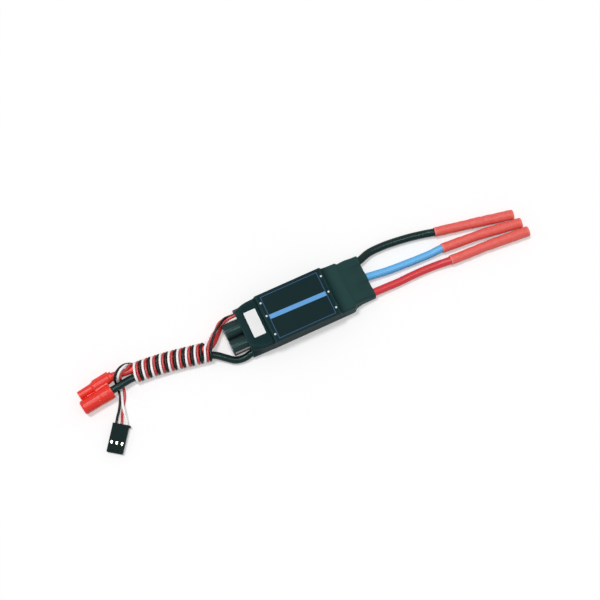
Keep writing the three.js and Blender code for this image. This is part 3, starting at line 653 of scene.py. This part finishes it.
def sticker_sheet():
    """The paper between its two faces, with its four corners rounded."""
    sheet = bmesh.new()
    lower, upper = [], []
    for grid, z in ((lower, sticker_low.z - 0.02), (upper, sticker_high.z)):
        for row in range(sticker_rows):
            y = sticker_low.y + (sticker_high.y - sticker_low.y) * row / (sticker_rows - 1)
            line = []
            for column in range(sticker_columns):
                x = sticker_low.x + (sticker_high.x - sticker_low.x) * column / (sticker_columns - 1)
                line.append(sheet.verts.new(Vector((x, y, z + film_lift(x, y))) * mm))
            grid.append(line)
    for row in range(sticker_rows - 1):
        for column in range(sticker_columns - 1):
            for grid in (lower, upper):
                sheet.faces.new((grid[row][column], grid[row][column + 1],
                                 grid[row + 1][column + 1], grid[row + 1][column]))
    edge = [(0, c) for c in range(sticker_columns - 1)]
    edge += [(r, sticker_columns - 1) for r in range(sticker_rows - 1)]
    edge += [(sticker_rows - 1, c) for c in range(sticker_columns - 1, 0, -1)]
    edge += [(r, 0) for r in range(sticker_rows - 1, 0, -1)]
    for (r1, c1), (r2, c2) in zip(edge, edge[1:] + edge[:1]):
        sheet.faces.new((lower[r1][c1], lower[r2][c2], upper[r2][c2], upper[r1][c1]))
    bmesh.ops.recalc_face_normals(sheet, faces=sheet.faces)
    corners = [(r, c) for r in (0, sticker_rows - 1) for c in (0, sticker_columns - 1)]
    uprights = [e for r, c in corners for e in lower[r][c].link_edges if upper[r][c] in e.verts]
    bmesh.ops.bevel(sheet, geom=uprights, offset=sticker_corner * mm, segments=4, affect="EDGES")
    return mesh_of("sticker", sheet)


new_piece("sticker", sticker_sheet(), sticker_paper, ["serial_sticker"], 50)


# ---------------------------------------------------------------- motor leads
# Three thick silicone leads, black, blue and red, soldered to the power board and held by
# the sleeve. Each ends in a gold-plated bullet socket soldered on, with a red shrink tube
# over the socket and the end of the lead.

motor_diameter = 3.9
tube_height = 2.6                  # the middle of the red tubes above the ground
lead_height = 2.05
landing_height = 2.25
joint_height = 3.7
motor_start = board_high.x + 0.6
motor_falls = [(31, 3.3), (sleeve_high.x, 2.7)]
bullet_back = 17.6                 # from the mouth of the tube to the back of the socket
bullet_recess = 0.6
bullet_radius = 1.95
bullet_bore = 1.75
cup_floor = 5 - bullet_back        # the lead is soldered in a cup this far from the mouth
tube_sides = 40
tube_radius, tube_bore = 2.4, 2.02           # over the lead

motor_routes = {
    "black": {
        "lead": [(43.8, 11.5), (51.5, 11.8), (58.9, 11.2), (66.1, 10.2), (73, 8.8)],
        "start": (78, 7.4), "bend": (98, 3.3), "tip": (117.5, -0.8)},
    "blue": {
        "lead": [(42.5, 0), (48.4, -0.7), (56, -1.2), (64, -1.6), (71.7, -1.8)],
        "start": (77.6, -1.7), "bend": (99, -3.4), "tip": (119.2, -6.3)},
    "red": {
        "lead": [(44.8, -8.1), (51, -8.2), (57.5, -8), (65, -8), (72.5, -8.4)],
        "start": (78.6, -9.1), "bend": (100, -10), "tip": (120.4, -11.7)},
}


def smooth_line(chosen, step=0.5):
    """Points close together on the smooth curve through the chosen ones."""
    points = [Vector(point) for point in chosen]
    points = [2 * points[0] - points[1], *points, 2 * points[-1] - points[-2]]

    def along(a, b, start, end, t):
        return a + (b - a) * ((t - start) / (end - start))

    line = []
    for p, q, r, s in zip(points, points[1:], points[2:], points[3:]):
        k1 = math.sqrt((q - p).length)
        k2 = k1 + math.sqrt((r - q).length)
        k3 = k2 + math.sqrt((s - r).length)
        count = max(1, round((r - q).length / step))
        for i in range(count):
            t = k1 + (k2 - k1) * i / count
            first = along(along(p, q, 0, k1, t), along(q, r, k1, k2, t), 0, k2, t)
            second = along(along(q, r, k1, k2, t), along(r, s, k2, k3, t), k1, k3, t)
            line.append(along(first, second, k1, k2, t))
    return line + [points[-2]]


def length_of(line):
    return sum((b - a).length for a, b in zip(line, line[1:]))


def in_metres(x, y, z):
    return (x * mm, y * mm, z * mm)


def round_cord(name, line, diameter, material, stands_for):
    """A solid round lead along the line, as a curve that rides on the one body."""
    curve = bpy.data.curves.new(name, "CURVE")
    curve.dimensions = "3D"
    curve.bevel_depth = diameter / 2 * mm
    curve.bevel_resolution = 7
    curve.use_fill_caps = True
    spline = curve.splines.new("POLY")
    spline.points.add(len(line) - 1)
    for point, place in zip(spline.points, line):
        point.co = (*in_metres(*place), 1)
    spline.use_smooth = True
    curve.materials.append(material)
    return fitted(name, curve, stands_for)


def tube_reach(distance, angle, length, seed):
    """The tube's outer radius. It is a little slimmer over the lead than over the socket,
    swells over the solder and turns in at its two mouths."""
    past_socket = distance - (length - bullet_back)
    radius = tube_radius + 0.17 * eased(past_socket, -4, 1)
    radius += 0.1 * math.exp(-((past_socket + 3.2) / 1.5) ** 2)
    radius -= 0.08 * math.exp(-((past_socket - 2.2) / 0.9) ** 2)
    place = Vector((distance / 2.6, math.cos(angle) * 0.8 + seed, math.sin(angle) * 0.8))
    radius += 0.13 * noise.noise(place) + 0.06 * noise.noise(place * 2.7)
    from_end = min(distance, length - distance)
    return radius - 0.14 * (1 - eased(from_end, 0, 0.35))


def tube_inside(distance, length):
    """The tube's inner radius, against the lead and then against the socket."""
    return tube_bore + 0.12 * eased(distance - (length - bullet_back), -2, 0)


def shrunk_tube(line, seed):
    """A thin tube shrunk on along the line. The seed draws its wrinkles."""
    length = length_of(line)
    outside, inside = [], []
    distance = 0
    for i, middle in enumerate(line):
        ahead = (line[min(i + 1, len(line) - 1)] - line[max(i - 1, 0)]).normalized()
        across = ahead.cross(Vector((0, 0, 1))).normalized()
        upright = across.cross(ahead)
        distance += (middle - line[i - 1]).length if i else 0
        angles = [2 * math.pi * j / tube_sides for j in range(tube_sides)]
        away = [across * math.cos(angle) + upright * math.sin(angle) for angle in angles]
        outside.append([middle + way * tube_reach(distance, angle, length, seed)
                        for way, angle in zip(away, angles)])
        inside.append([middle + way * tube_inside(distance, length) for way in away])
    return loft("tube", outside + inside[::-1], closed=True)


silicone_relief = {"grain": 0.25, "patch": 5, "relief": 0.006}
black_silicone = make_finish("black_silicone", (8, 22, 23), (11, 28, 28), (0.24, 0.32),
                             **silicone_relief, Specular_IOR_Level=0.24, **green_black)
blue_silicone = make_finish("blue_silicone", (88, 172, 232), (98, 182, 238), (0.34, 0.44),
                            **silicone_relief)
red_silicone = make_finish("red_silicone", (205, 34, 44), (214, 42, 50), (0.28, 0.4), **silicone_relief)
red_tube = make_finish("red_tube", (222, 76, 70), (228, 88, 80), (0.42, 0.56), grain=0.3, patch=3,
                       relief=0.02, rubbed_and_highlit=(236, 120, 110))
gold_plate = make_finish("gold_plate", (228, 178, 84), (216, 162, 70), (0.14, 0.26), patch=1.5,
                         relief=0.004, Metallic=1)
motor_silicone = {"black": black_silicone, "blue": blue_silicone, "red": red_silicone}
bullet_outline = rounded([
    (cup_floor, bullet_bore - 0.2), (-bullet_back, bullet_bore - 0.2), (-bullet_back, bullet_radius),
    (cup_floor + 0.4, bullet_radius), (cup_floor + 0.7, bullet_radius - 0.15),
    (cup_floor + 1.4, bullet_radius - 0.15), (cup_floor + 1.7, bullet_radius),
    (-bullet_recess, bullet_radius), (-bullet_recess, bullet_bore + 0.02),
    (-bullet_recess - 0.5, bullet_bore), (cup_floor + 1.5, bullet_bore)], 0.08, 3)

for colour, route in motor_routes.items():
    row = motor_lead_rows[colour]
    start, bend, tip = (Vector((*route[name], tube_height)) for name in ("start", "bend", "tip"))
    lead_end = tip + (bend - tip).normalized() * (bullet_back + 0.3)
    landing, *lying = route["lead"]
    lead_line = smooth_line([
        (motor_start, row, joint_height), *((x, row, z) for x, z in motor_falls),
        (*landing, landing_height), *((*place, lead_height) for place in lying), start, bend, lead_end])
    lead_piece = round_cord(f"motor_lead_{colour}_piece", lead_line, motor_diameter,
                            motor_silicone[colour], [f"motor_lead_{colour}"])

    tube_line = smooth_line([start, start + (bend - start).normalized() * 9, bend, lead_end, tip])
    tube_piece = new_piece(f"motor_tube_{colour}", shrunk_tube(tube_line, row), red_tube,
                           [f"motor_bullet_sleeve_{colour}"], 70)

    place = Matrix.Translation(tip) @ (tip - bend).to_track_quat("X", "Z").to_matrix().to_4x4()
    socket_piece = new_piece(f"motor_socket_{colour}", turned("socket", bullet_outline, place), gold_plate,
                             [f"motor_bullet_{colour}"], 30)


# ---------------------------------------------------------------- battery plug
# A red nylon moulding with two round shrouds of unlike size, so that it can't be mated the
# wrong way round. A gold pin stands in the wide shroud and a gold socket in the narrow
# one, which holds its lead in a neck and has a low rib along its far side to click in.

plug_height = 3.75
plug_place = Matrix.Translation((-96.9, 3.95, plug_height)) @ Matrix.Rotation(math.radians(188), 4, "Z")
wall_start = 6.8                   # from the wire end to where the two bores open out
wide_side, wide_radius, wide_bore, wide_tip = 3.15, 3.75, 2.8, 17.2
narrow_side, narrow_base, narrow_mouth, narrow_bore, narrow_tip = -2.95, 2.7, 2.25, 1.95, 15.6
wide_start, narrow_start = 1, -0.9           # the wire end is a little slanted
neck_start, neck_radius = -2.8, 2.4
web_height = 1.9
lead_depth = 3.4
plug_pin_radius = 1.75
plug_pin_tip = 15.4
hole_radius = 2.1
hole_end = lead_depth + 0.15
past = 1                           # how far a cut runs on past the face that it opens


def sideways(side):
    """A place on the line of one of a plug's contacts, in the plug's own frame."""
    return Matrix.Translation((0, side, 0))


def bar(start, end, radius, side, sides=64):
    """A plain round bar on the line of one of the contacts, for cutting a hole with."""
    return turned("bar", [(start, radius), (end, radius)], sideways(side), sides)


def moulded(mesh, fineness, softness, place):
    """The mesh with an even fine surface and its edges and inner corners slightly rounded,
    put in its place."""
    form = placed("form", mesh)
    even = form.modifiers.new("even", "REMESH")
    even.mode = "VOXEL"
    even.voxel_size = fineness * mm
    fillets = form.modifiers.new("fillets", "SMOOTH")
    fillets.factor = 0.5
    fillets.iterations = softness
    solid = settled(form)
    solid.transform(Matrix.Scale(mm, 4) @ place @ Matrix.Scale(1 / mm, 4))
    return solid


wide_wall, narrow_wall = wide_radius - 0.16, narrow_mouth + 0.12
wide_outline = rounded([
    (wide_start, wide_radius - 1), (wide_start, wide_radius), (wall_start, wide_radius),
    (wall_start + 0.5, wide_wall), (wide_tip - 0.7, wide_wall), (wide_tip, wide_radius - 0.75)], 0.35)
narrow_outline = rounded([
    (narrow_start, narrow_base - 1), (narrow_start, narrow_base), (wall_start + 1, narrow_base),
    (wall_start + 1.6, narrow_wall), (narrow_tip - 0.25, narrow_mouth),
    (narrow_tip, narrow_mouth - 0.25)], 0.35)
neck_outline = rounded([
    (neck_start, hole_radius - 0.3), (neck_start, neck_radius), (narrow_start + 1, neck_radius)], 0.3)
ejector_place = (Matrix.Translation((8.3, 5.35, 2.75))
                 @ Vector((0, 0.62, 0.8)).to_track_quat("X", "Z").to_matrix().to_4x4())
plug_solid = combine(turned("wide", wide_outline, sideways(wide_side), 96), [
    turned("narrow", narrow_outline, sideways(narrow_side), 96),
    block("rib", (narrow_start - 0.5, narrow_side - narrow_base - 0.35, -0.9),
          (wall_start + 0.2, narrow_side, 0.9)),
    turned("neck", neck_outline, sideways(narrow_side), 72),
    block("web", (wide_start, narrow_side, -web_height), (wall_start + 1, wide_side, web_height)),
    block("thin_web", (wall_start, narrow_side, -1), (narrow_tip - 3, wide_side, 1)),
    bar(wide_start + 1.4, wide_start + 2.2, wide_radius + 0.14, wide_side, 96),
    turned("ejector_mark", [(-0.3, 0.55), (0.3, 0.55), (0.36, 0.35)], ejector_place, 24),
], "UNION")
plug_solid = combine(plug_solid, [
    block("ground", (neck_start - past, -8, -5), (wide_tip + past, 8, -plug_height)),
    bar(-past, hole_end, hole_radius, wide_side),
    bar(neck_start - past, hole_end, hole_radius, narrow_side),
    bar(lead_depth - past, wall_start + 3, plug_pin_radius - 0.04, wide_side),
    bar(wall_start + 2, wide_tip + past, wide_bore, wide_side, 72),
    bar(lead_depth - past, narrow_tip + past, narrow_bore, narrow_side, 72),
], "DIFFERENCE")
red_moulding = make_finish(
    "red_moulding", (234, 48, 32), (226, 41, 28), (0.3, 0.38), patch=3, relief=0.004,
    rubbed_and_highlit=(240, 78, 60), Specular_IOR_Level=0.36)
plug_piece = new_piece("battery_plug", moulded(plug_solid, 0.12, 4, plug_place), red_moulding,
                       ["battery_plug_housing"], 180)

pin_start = lead_depth + 0.6
pin_neck = plug_pin_radius - 0.4
slot_long, slot_thin = 2, 0.14
pin_outline = rounded([
    (pin_start, plug_pin_radius), (wall_start + 1.5, plug_pin_radius), (wall_start + 2, pin_neck),
    (wall_start + 2.6, pin_neck), (wall_start + 3.4, plug_pin_radius - 0.1), (12.5, plug_pin_radius),
    (plug_pin_tip - 1.2, plug_pin_radius - 0.1), (plug_pin_tip, plug_pin_radius - 0.9)], 0.35)
pin_place = plug_place @ sideways(wide_side)
pin_slots = [block("slot", (wall_start + 3.6, -wide, -tall), (plug_pin_tip + past, wide, tall), pin_place)
             for wide, tall in ((slot_long, slot_thin), (slot_thin, slot_long))]
pin_piece = new_piece(
    "battery_pin", combine(turned("pin", pin_outline, pin_place), pin_slots, "DIFFERENCE"),
    gold_plate, ["battery_bullet_pin"], 30)

socket_radius = narrow_bore - 0.3
socket_mouth = narrow_tip - 0.5
socket_bore = socket_radius - 0.35
socket_outline = rounded([(pin_start, socket_radius), (socket_mouth, socket_radius),
                          (socket_mouth, socket_bore), (wall_start, socket_bore)], 0.1)
battery_socket = new_piece(
    "battery_socket", turned("socket", socket_outline, plug_place @ sideways(narrow_side)),
    gold_plate, ["battery_bullet_socket"], 30)


# ---------------------------------------------------------------- battery leads
# Two silicone leads, red and black, from the power board to the plug. They come out
# beside the capacitors, meet, and run side by side inside the turns of the servo lead.

battery_diameter = 3.6
pair_spacing = 3.9
pair_height = 3.15
battery_start = board_low.x - 0.6
pair_route = [Vector((x, y, pair_height)) for x, y in (
    (-47.6, -1.25), (-54, -0.1), (-62, 1.45), (-70, 2.75), (-77, 3.6), (-83.6, 4.15))]

battery_routes = {
    "red": {
        "body": [(-26, 9.2, 3.2), (-29.2, 9.2, 2.7), (-33.2, 9.3, 2.2), (-36.8, 9.1, 1.95), (-39.2, 7, 2.3),
                 (-41.6, 4.4, 2.7), (-44.2, 2, 3.05)],
        "plug": [(-87.8, 6.3, 3.35), (-91.5, 6.7, 3.6), (-94.8, 7.05, 3.72)],
        "offset": pair_spacing / 2, "shroud": narrow_side},
    "black": {
        "body": [(-26, -10.5, 3.1), (-29.2, -10.5, 2.75), (-33, -11.1, 2.1), (-37.6, -10.3, 2),
                 (-41.6, -7.3, 2.3), (-45, -4.6, 2.95)],
        "plug": [(-87.8, 2.1, 3.35), (-91.5, 1.6, 3.6), (-94.2, 1.2, 3.72)],
        "offset": -pair_spacing / 2, "shroud": wide_side},
}


def beside_pair(offset):
    """The pair's chosen points, moved sideways: +Y is positive."""
    moved = []
    for i, point in enumerate(pair_route):
        ahead = pair_route[min(i + 1, len(pair_route) - 1)] - pair_route[max(i - 1, 0)]
        moved.append(point + Vector((ahead.y, -ahead.x, 0)).normalized() * offset)
    return moved


battery_silicone = {
    "red": make_finish("battery_red", (216, 46, 44), (224, 56, 50), (0.28, 0.4), **silicone_relief),
    "black": black_silicone}
for colour, route in battery_routes.items():
    row = row_of(f"battery_joint_{colour}") / mm
    battery_line = smooth_line([
        (battery_start, row, joint_height), *route["body"], *beside_pair(route["offset"]), *route["plug"],
        plug_place @ Vector((0, route["shroud"], 0)),
        plug_place @ Vector((lead_depth, route["shroud"], 0))])
    battery_piece = round_cord(f"battery_lead_{colour}_piece", battery_line, battery_diameter,
                               battery_silicone[colour], [f"battery_lead_{colour}"])


# ---------------------------------------------------------------- servo plug
# A flat black moulding for three wires. Each wire is crimped in a plated spring contact
# that was pushed in from behind, and shows where its lock lies in a small window.

face = next(mount for mount in frame["record"]["mounts"] if mount["name"] == "servo_plug_face")
servo_length, servo_width, servo_height = 14, 7.8, 2.6
servo_side, servo_top = servo_width / 2, servo_height / 2
servo_axis = Vector(face["axis"])
contact_pitch = 2.54
face_offset = contact_pitch / 2    # the mount lies between two contacts of the mating end
servo_place = (Matrix.Translation(Vector(face["pos_m"]) / mm - servo_axis * servo_length)
               @ Matrix.Rotation(math.atan2(servo_axis.y, servo_axis.x), 4, "Z")
               @ sideways(-face_offset))
contact_sides = {"black": -contact_pitch, "red": 0.0, "white": contact_pitch}
contact_bore = 0.95
window_place = 9.2
window_half = (0.75, 0.45)
lip_length = 1.1
notch_half = 0.25
key_half = 0.32

servo_solid = combine(
    block("servo_block", (0, -servo_side, -servo_top), (servo_length, servo_side, servo_top)), [
        block("lip", (0, near, 0.3 - servo_top), (lip_length, far, servo_top - 0.2))
        for near, far in ((servo_side - 0.5, servo_side + 0.75), (-servo_side - 0.12, 0.5 - servo_side))
    ], "UNION")
servo_cuts = []
for side in contact_sides.values():
    servo_cuts.append(block("bore", (-past, side - contact_bore, -contact_bore),
                            (servo_length + past, side + contact_bore, contact_bore)))
    servo_cuts.append(block("window", (window_place - window_half[0], side - window_half[1], 0),
                            (window_place + window_half[0], side + window_half[1], servo_height)))
for side in (-contact_pitch / 2, contact_pitch / 2):
    servo_cuts.append(block(
        "mating_notch", (servo_length - 1.3, side - notch_half, servo_top - 0.4),
        (servo_length + past, side + notch_half, servo_height)))
for end in (-servo_side, servo_side):
    key_place = (Matrix.Translation((servo_length, end, -servo_top))
                 @ Matrix.Rotation(math.radians(45), 4, "X"))
    servo_cuts.append(block("key", (-5, -key_half, -key_half), (5, key_half, key_half), key_place))
servo_solid = combine(servo_solid, servo_cuts, "DIFFERENCE")
black_moulding = make_finish(
    "black_moulding", (8, 20, 21), (12, 27, 27), (0.38, 0.5), grain=0.15, patch=2, relief=0.012,
    rubbed_and_highlit=(34, 52, 50), Specular_IOR_Level=0.06, Specular_Tint=(0.7, 1, 0.96, 1))
servo_piece = new_piece("servo_plug", moulded(servo_solid, 0.1, 3, servo_place), black_moulding,
                        ["servo_plug_housing"], 180)

contact_end = servo_length - 1.4
contact_start = contact_end - 11.5
contact_half = 0.65
hollow_half = 0.35
crimp_outline = rounded([(contact_start + along, radius) for along, radius in (
    (0, 0.6), (1.6, 0.6), (1.9, 0.48), (2.3, 0.48), (2.6, 0.58), (4.5, 0.58))], 0.1)
bright_contact = make_finish("bright_contact", (232, 224, 200), (222, 210, 178), (0.2, 0.34), patch=1,
                             Metallic=1)
for colour, side in contact_sides.items():
    place = servo_place @ sideways(side)
    contact_mesh = combine(turned("crimp", crimp_outline, place, 32), [
        block("box", (contact_start + 4, -contact_half, -contact_half),
              (contact_end, contact_half, contact_half), place),
        block("lock", (window_place - 0.6, -0.4, 0), (window_place + 0.55, 0.4, contact_bore), place),
    ], "UNION")
    hollow = block("hollow", (contact_start + 6, -hollow_half, -hollow_half),
                   (contact_end + past, hollow_half, hollow_half), place)
    new_piece(
        f"servo_contact_{colour}_piece", combine(contact_mesh, [hollow], "DIFFERENCE"), bright_contact,
        [f"servo_contact_{colour}"], 30)


# ---------------------------------------------------------------- servo lead
# Three thin stranded wires in vinyl, white, red and black. They come out over the red
# battery lead, roll over, are wound nine times round the battery pair, then loop over the
# red lead, go down between the two and pass under the black one to their plug.

servo_diameter = 1.25
turn_radius = battery_diameter / 2 + 0.1 + servo_diameter / 2
turn_flat = pair_spacing / 2       # half of the flat stretch over and under the pair
turn_length = 4 * turn_flat + 2 * math.pi * turn_radius
turn_pitch = 4.28
turn_point_step = 1.2
pair_line = smooth_line(pair_route, 0.25)
pair_distances = [0.0]
for a, b in zip(pair_line, pair_line[1:]):
    pair_distances.append(pair_distances[-1] + (b - a).length)


def pair_place(along):
    """The point of the pair's middle line at that distance, and the way it runs there. Past
    either end the line runs straight on."""
    i = max(0, min(len(pair_line) - 2, sum(distance <= along for distance in pair_distances) - 1))
    ahead = (pair_line[i + 1] - pair_line[i]).normalized()
    return pair_line[i] + ahead * (along - pair_distances[i]), ahead


def turn_point(along, around):
    """A point of a turn: along the pair, and around it from the top middle, where the near
    side comes first."""
    around = (around + turn_length / 2) % turn_length - turn_length / 2
    side = -1 if around > 0 else 1
    rest = abs(around)
    if rest <= turn_flat:
        out, up = side * rest, turn_radius
    elif rest <= turn_flat + math.pi * turn_radius:
        angle = (rest - turn_flat) / turn_radius
        out = side * (turn_flat + turn_radius * math.sin(angle))
        up = turn_radius * math.cos(angle)
    else:
        out, up = side * (turn_length / 2 - rest), -turn_radius
    middle, ahead = pair_place(along)
    return middle + Vector((ahead.y, -ahead.x, 0)) * out + Vector((0, 0, up))


# Each wire: its chosen points before and after the turns, where the middle of its first
# turn lies along the pair, how far round it starts and ends, and where it leaves
servo_routes = {
    "white": {
        "start": [(-22, 6.6, 7.325), (-25, 7.1, 7.4), (-29.2, 7.4, 6.85), (-33, 7.9, 5.65),
                  (-36.4, 7.95, 4.8), (-38.6, 7.6, 4.95), (-41.4, 5.6, 5.15), (-43.8, 4.9, 4.7),
                  (-46.5, 3.2, 4.5)],
        "first": (1.95, -1.2), "last": (39.15, 17.75, 16.2), "lead_in": [(0.55, -3.4)],
        "end": [(-85.8, 8.95, 3.2), (-86.25, 8.85, 4.6), (-87.15, 8.5, 6.1), (-88.3, 7.8, 7.2),
                (-89.8, 7.1, 7.6), (-91.2, 6.1, 7.1), (-92.2, 5.1, 6), (-92.7, 4.4, 4.6),
                (-92.85, 4.1, 3.4), (-92.95, 3.4, 1.9), (-93.1, 1.9, 1), (-93.4, 0, 0.8),
                (-93.9, -2.2, 1.3), (-94.6, -4.7, 1.9), (-95.5, -7.4, 2.25), (-96.1, -10.2, 2.2),
                (-96.6, -13, 1.8)]},
    "red": {
        "start": [(-22, 8.2, 7.325), (-25, 8.5, 7.3), (-29.2, 8.7, 7.3), (-33.2, 8.6, 6.9),
                  (-36.4, 7.7, 6.2), (-40.5, 6.2, 6.5), (-43.8, 4.1, 6.1), (-45.6, 2.4, 5.75),
                  (-46.6, 1.2, 5.65)],
        "first": (0.55, 0.4), "last": (37.85, 17.75, 16.2), "lead_in": [],
        "end": [(-84.52, 8.83, 3.3), (-84.75, 8.5, 4.4), (-85.5, 7.75, 5.4), (-86.8, 6.9, 5.85),
                (-88.1, 6.7, 6), (-89.4, 6.4, 6.1), (-90.4, 5.7, 6), (-91.1, 4.65, 5.45),
                (-91.45, 4.17, 4.3), (-91.6, 4.15, 3.2), (-91.7, 3.8, 2), (-91.8, 2.2, 1),
                (-92.05, 0, 0.7), (-92.6, -2.2, 0.7), (-93.7, -4.9, 0.7), (-95.8, -8.2, 0.7),
                (-98, -12, 0.9)]},
    "black": {
        "start": [(-22, 9.8, 7.325), (-25, 9.8, 6.9), (-29.2, 9.7, 5.95), (-32, 10, 5.5),
                  (-34.2, 9.8, 6.4), (-36, 8.9, 7.5), (-37.9, 7.6, 7.8), (-40.4, 6, 7.8),
                  (-42.7, 3.9, 7.4), (-44.7, 1.4, 6.7), (-46.1, -0.8, 6.1)],
        "first": (-0.9, 0.8), "last": (35.85, 13.78, 13.78), "lead_in": [],
        "end": [(-83.4, 8.75, 0.66), (-84.2, 9.65, 0.85), (-85.3, 10, 1.4), (-86.6, 10.1, 2.5),
                (-87.9, 9.8, 3.9), (-89.2, 9.2, 5.2), (-90.7, 8.3, 6.2), (-92.3, 7.1, 6.6),
                (-93.5, 5.8, 6.05), (-94.15, 4.7, 4.9), (-94.35, 4.1, 3.6), (-94.45, 3.3, 2),
                (-94.6, 1.9, 1.05), (-94.8, 0, 0.7), (-95.1, -2.6, 0.7), (-96.6, -6, 0.7),
                (-98.5, -9.3, 0.9), (-100.2, -11.6, 1.1)]},
}
whole_turns = 8
whole_length = whole_turns * turn_length
easing_starts = whole_length + 4   # from here on the turns lie closer
turn_lean_reach = 0.75


def turn_lean(around):
    """How far a turn runs ahead of an even helix: it leans over the far side of the pair and
    lies square to it on the near side, as when a lead is wound on by hand."""
    quarter = turn_length / 4
    grows = eased(around, quarter - 1.5, quarter + 1.5)
    fades = eased(around, whole_length + 2.5, whole_length + quarter)
    wave = math.sin(2 * math.pi * (around + quarter) / turn_length)
    return turn_lean_reach * wave * grows * (1 - fades)


def servo_turns(first_along, first_around, leaves_along, leaves_around, last_around):
    """The points of one wire's turns, about twenty to a turn."""
    count = round((last_around - first_around) / turn_point_step)
    points = []
    for i in range(count + 1):
        around = first_around + (last_around - first_around) * i / count
        along = first_along + turn_pitch * min(around, easing_starts) / turn_length
        if around > easing_starts:
            along += (leaves_along - along) * (around - easing_starts) / (leaves_around - easing_starts)
        points.append(turn_point(along + turn_lean(around), around))
    return points


vinyl_relief = {"patch": 3, "relief": 0.004}
servo_vinyl = {
    "white": make_finish("white_vinyl", (250, 250, 249), (244, 245, 244), (0.3, 0.4), **vinyl_relief),
    "red": make_finish("red_vinyl", (196, 50, 50), (184, 42, 44), (0.28, 0.38), **vinyl_relief),
    "black": make_finish("black_vinyl", (12, 14, 15), (20, 22, 23), (0.26, 0.36), **vinyl_relief,
                         Specular_IOR_Level=0.22)}
for colour, route in servo_routes.items():
    leaves_along, *arounds = route["last"]
    side = contact_sides[colour]
    servo_line = smooth_line([
        *route["start"], *(turn_point(along, around) for along, around in route["lead_in"]),
        *servo_turns(*route["first"], leaves_along, *(whole_length + around for around in arounds)),
        *route["end"], servo_place @ Vector((-1.2, side, 0)), servo_place @ Vector((0.8, side, 0))])
    stands_for = [f"servo_wire_{colour}_start", f"servo_wire_{colour}_end"]
    if colour == "red":
        stands_for.append("servo_lead_winding")
    wire_piece = round_cord(f"servo_wire_{colour}_piece", servo_line, servo_diameter, servo_vinyl[colour],
                            stands_for)


# ---------------------------------------------------------------- studio
# A wide pale floor under an even white dome, with a soft lamp up on the far left and a
# weaker one overhead. The floor and the dome look white to the camera.

floor_half = 4000
floor_drop = 0.05
floor_grey = (0.8, 0.8, 0.8, 1)
pure_white = (1, 1, 1, 1)
floor_glow = 0.225
dome_light = 0.34


def seen_directly(tree):
    """1 for rays from the camera, a reflection or through glass, and 0 for the light that
    falls on things."""
    path = tree.nodes.new("ShaderNodeLightPath")
    total = path.outputs["Is Camera Ray"]
    for kind in ("Is Glossy Ray", "Is Transmission Ray"):
        total = reckoned(tree, "ADD", total, path.outputs[kind], clamp=True)
    return total


floor_sheet = bmesh.new()
bmesh.ops.create_grid(floor_sheet, x_segments=2, y_segments=2, size=floor_half * mm)
floor = placed("floor", mesh_of("floor", floor_sheet))
floor.location.z = -floor_drop * mm
floor_paper = bpy.data.materials.new("floor_paper")
floor_paper.use_nodes = True
paper_tree = floor_paper.node_tree
paper = paper_tree.nodes["Principled BSDF"]
paper.inputs["Base Color"].default_value = floor_grey
paper.inputs["Roughness"].default_value = 1
paper.inputs["Specular IOR Level"].default_value = 0
paper.inputs["Emission Color"].default_value = pure_white
glow = span_of(paper_tree, seen_directly(paper_tree), 0, floor_glow)
paper_tree.links.new(glow, paper.inputs["Emission Strength"])
coat(floor, floor_paper)

world = bpy.data.worlds.new("dome")
bpy.context.scene.world = world
world.use_nodes = True
dome_tree = world.node_tree
dome = dome_tree.nodes["Background"]
dome.inputs["Color"].default_value = pure_white
dome_tree.links.new(span_of(dome_tree, seen_directly(dome_tree), dome_light, 1), dome.inputs["Strength"])


def add_sun(name, towards, spread, strength):
    """A far soft lamp, which lights the whole floor evenly. spread is in degrees."""
    sun = bpy.data.lights.new(name, "SUN")
    sun.angle = math.radians(spread)
    sun.energy = strength
    sun_object = placed(name, sun)
    sun_object.rotation_mode = "QUATERNION"
    sun_object.rotation_quaternion = Vector(towards).to_track_quat("Z", "Y")


add_sun("key", (-0.2, 0.32, 1.2), 13, 1.38)
add_sun("overhead", (0.1, -0.2, 1), 9, 0.68)

bpy.context.scene.view_settings.view_transform = "Standard"
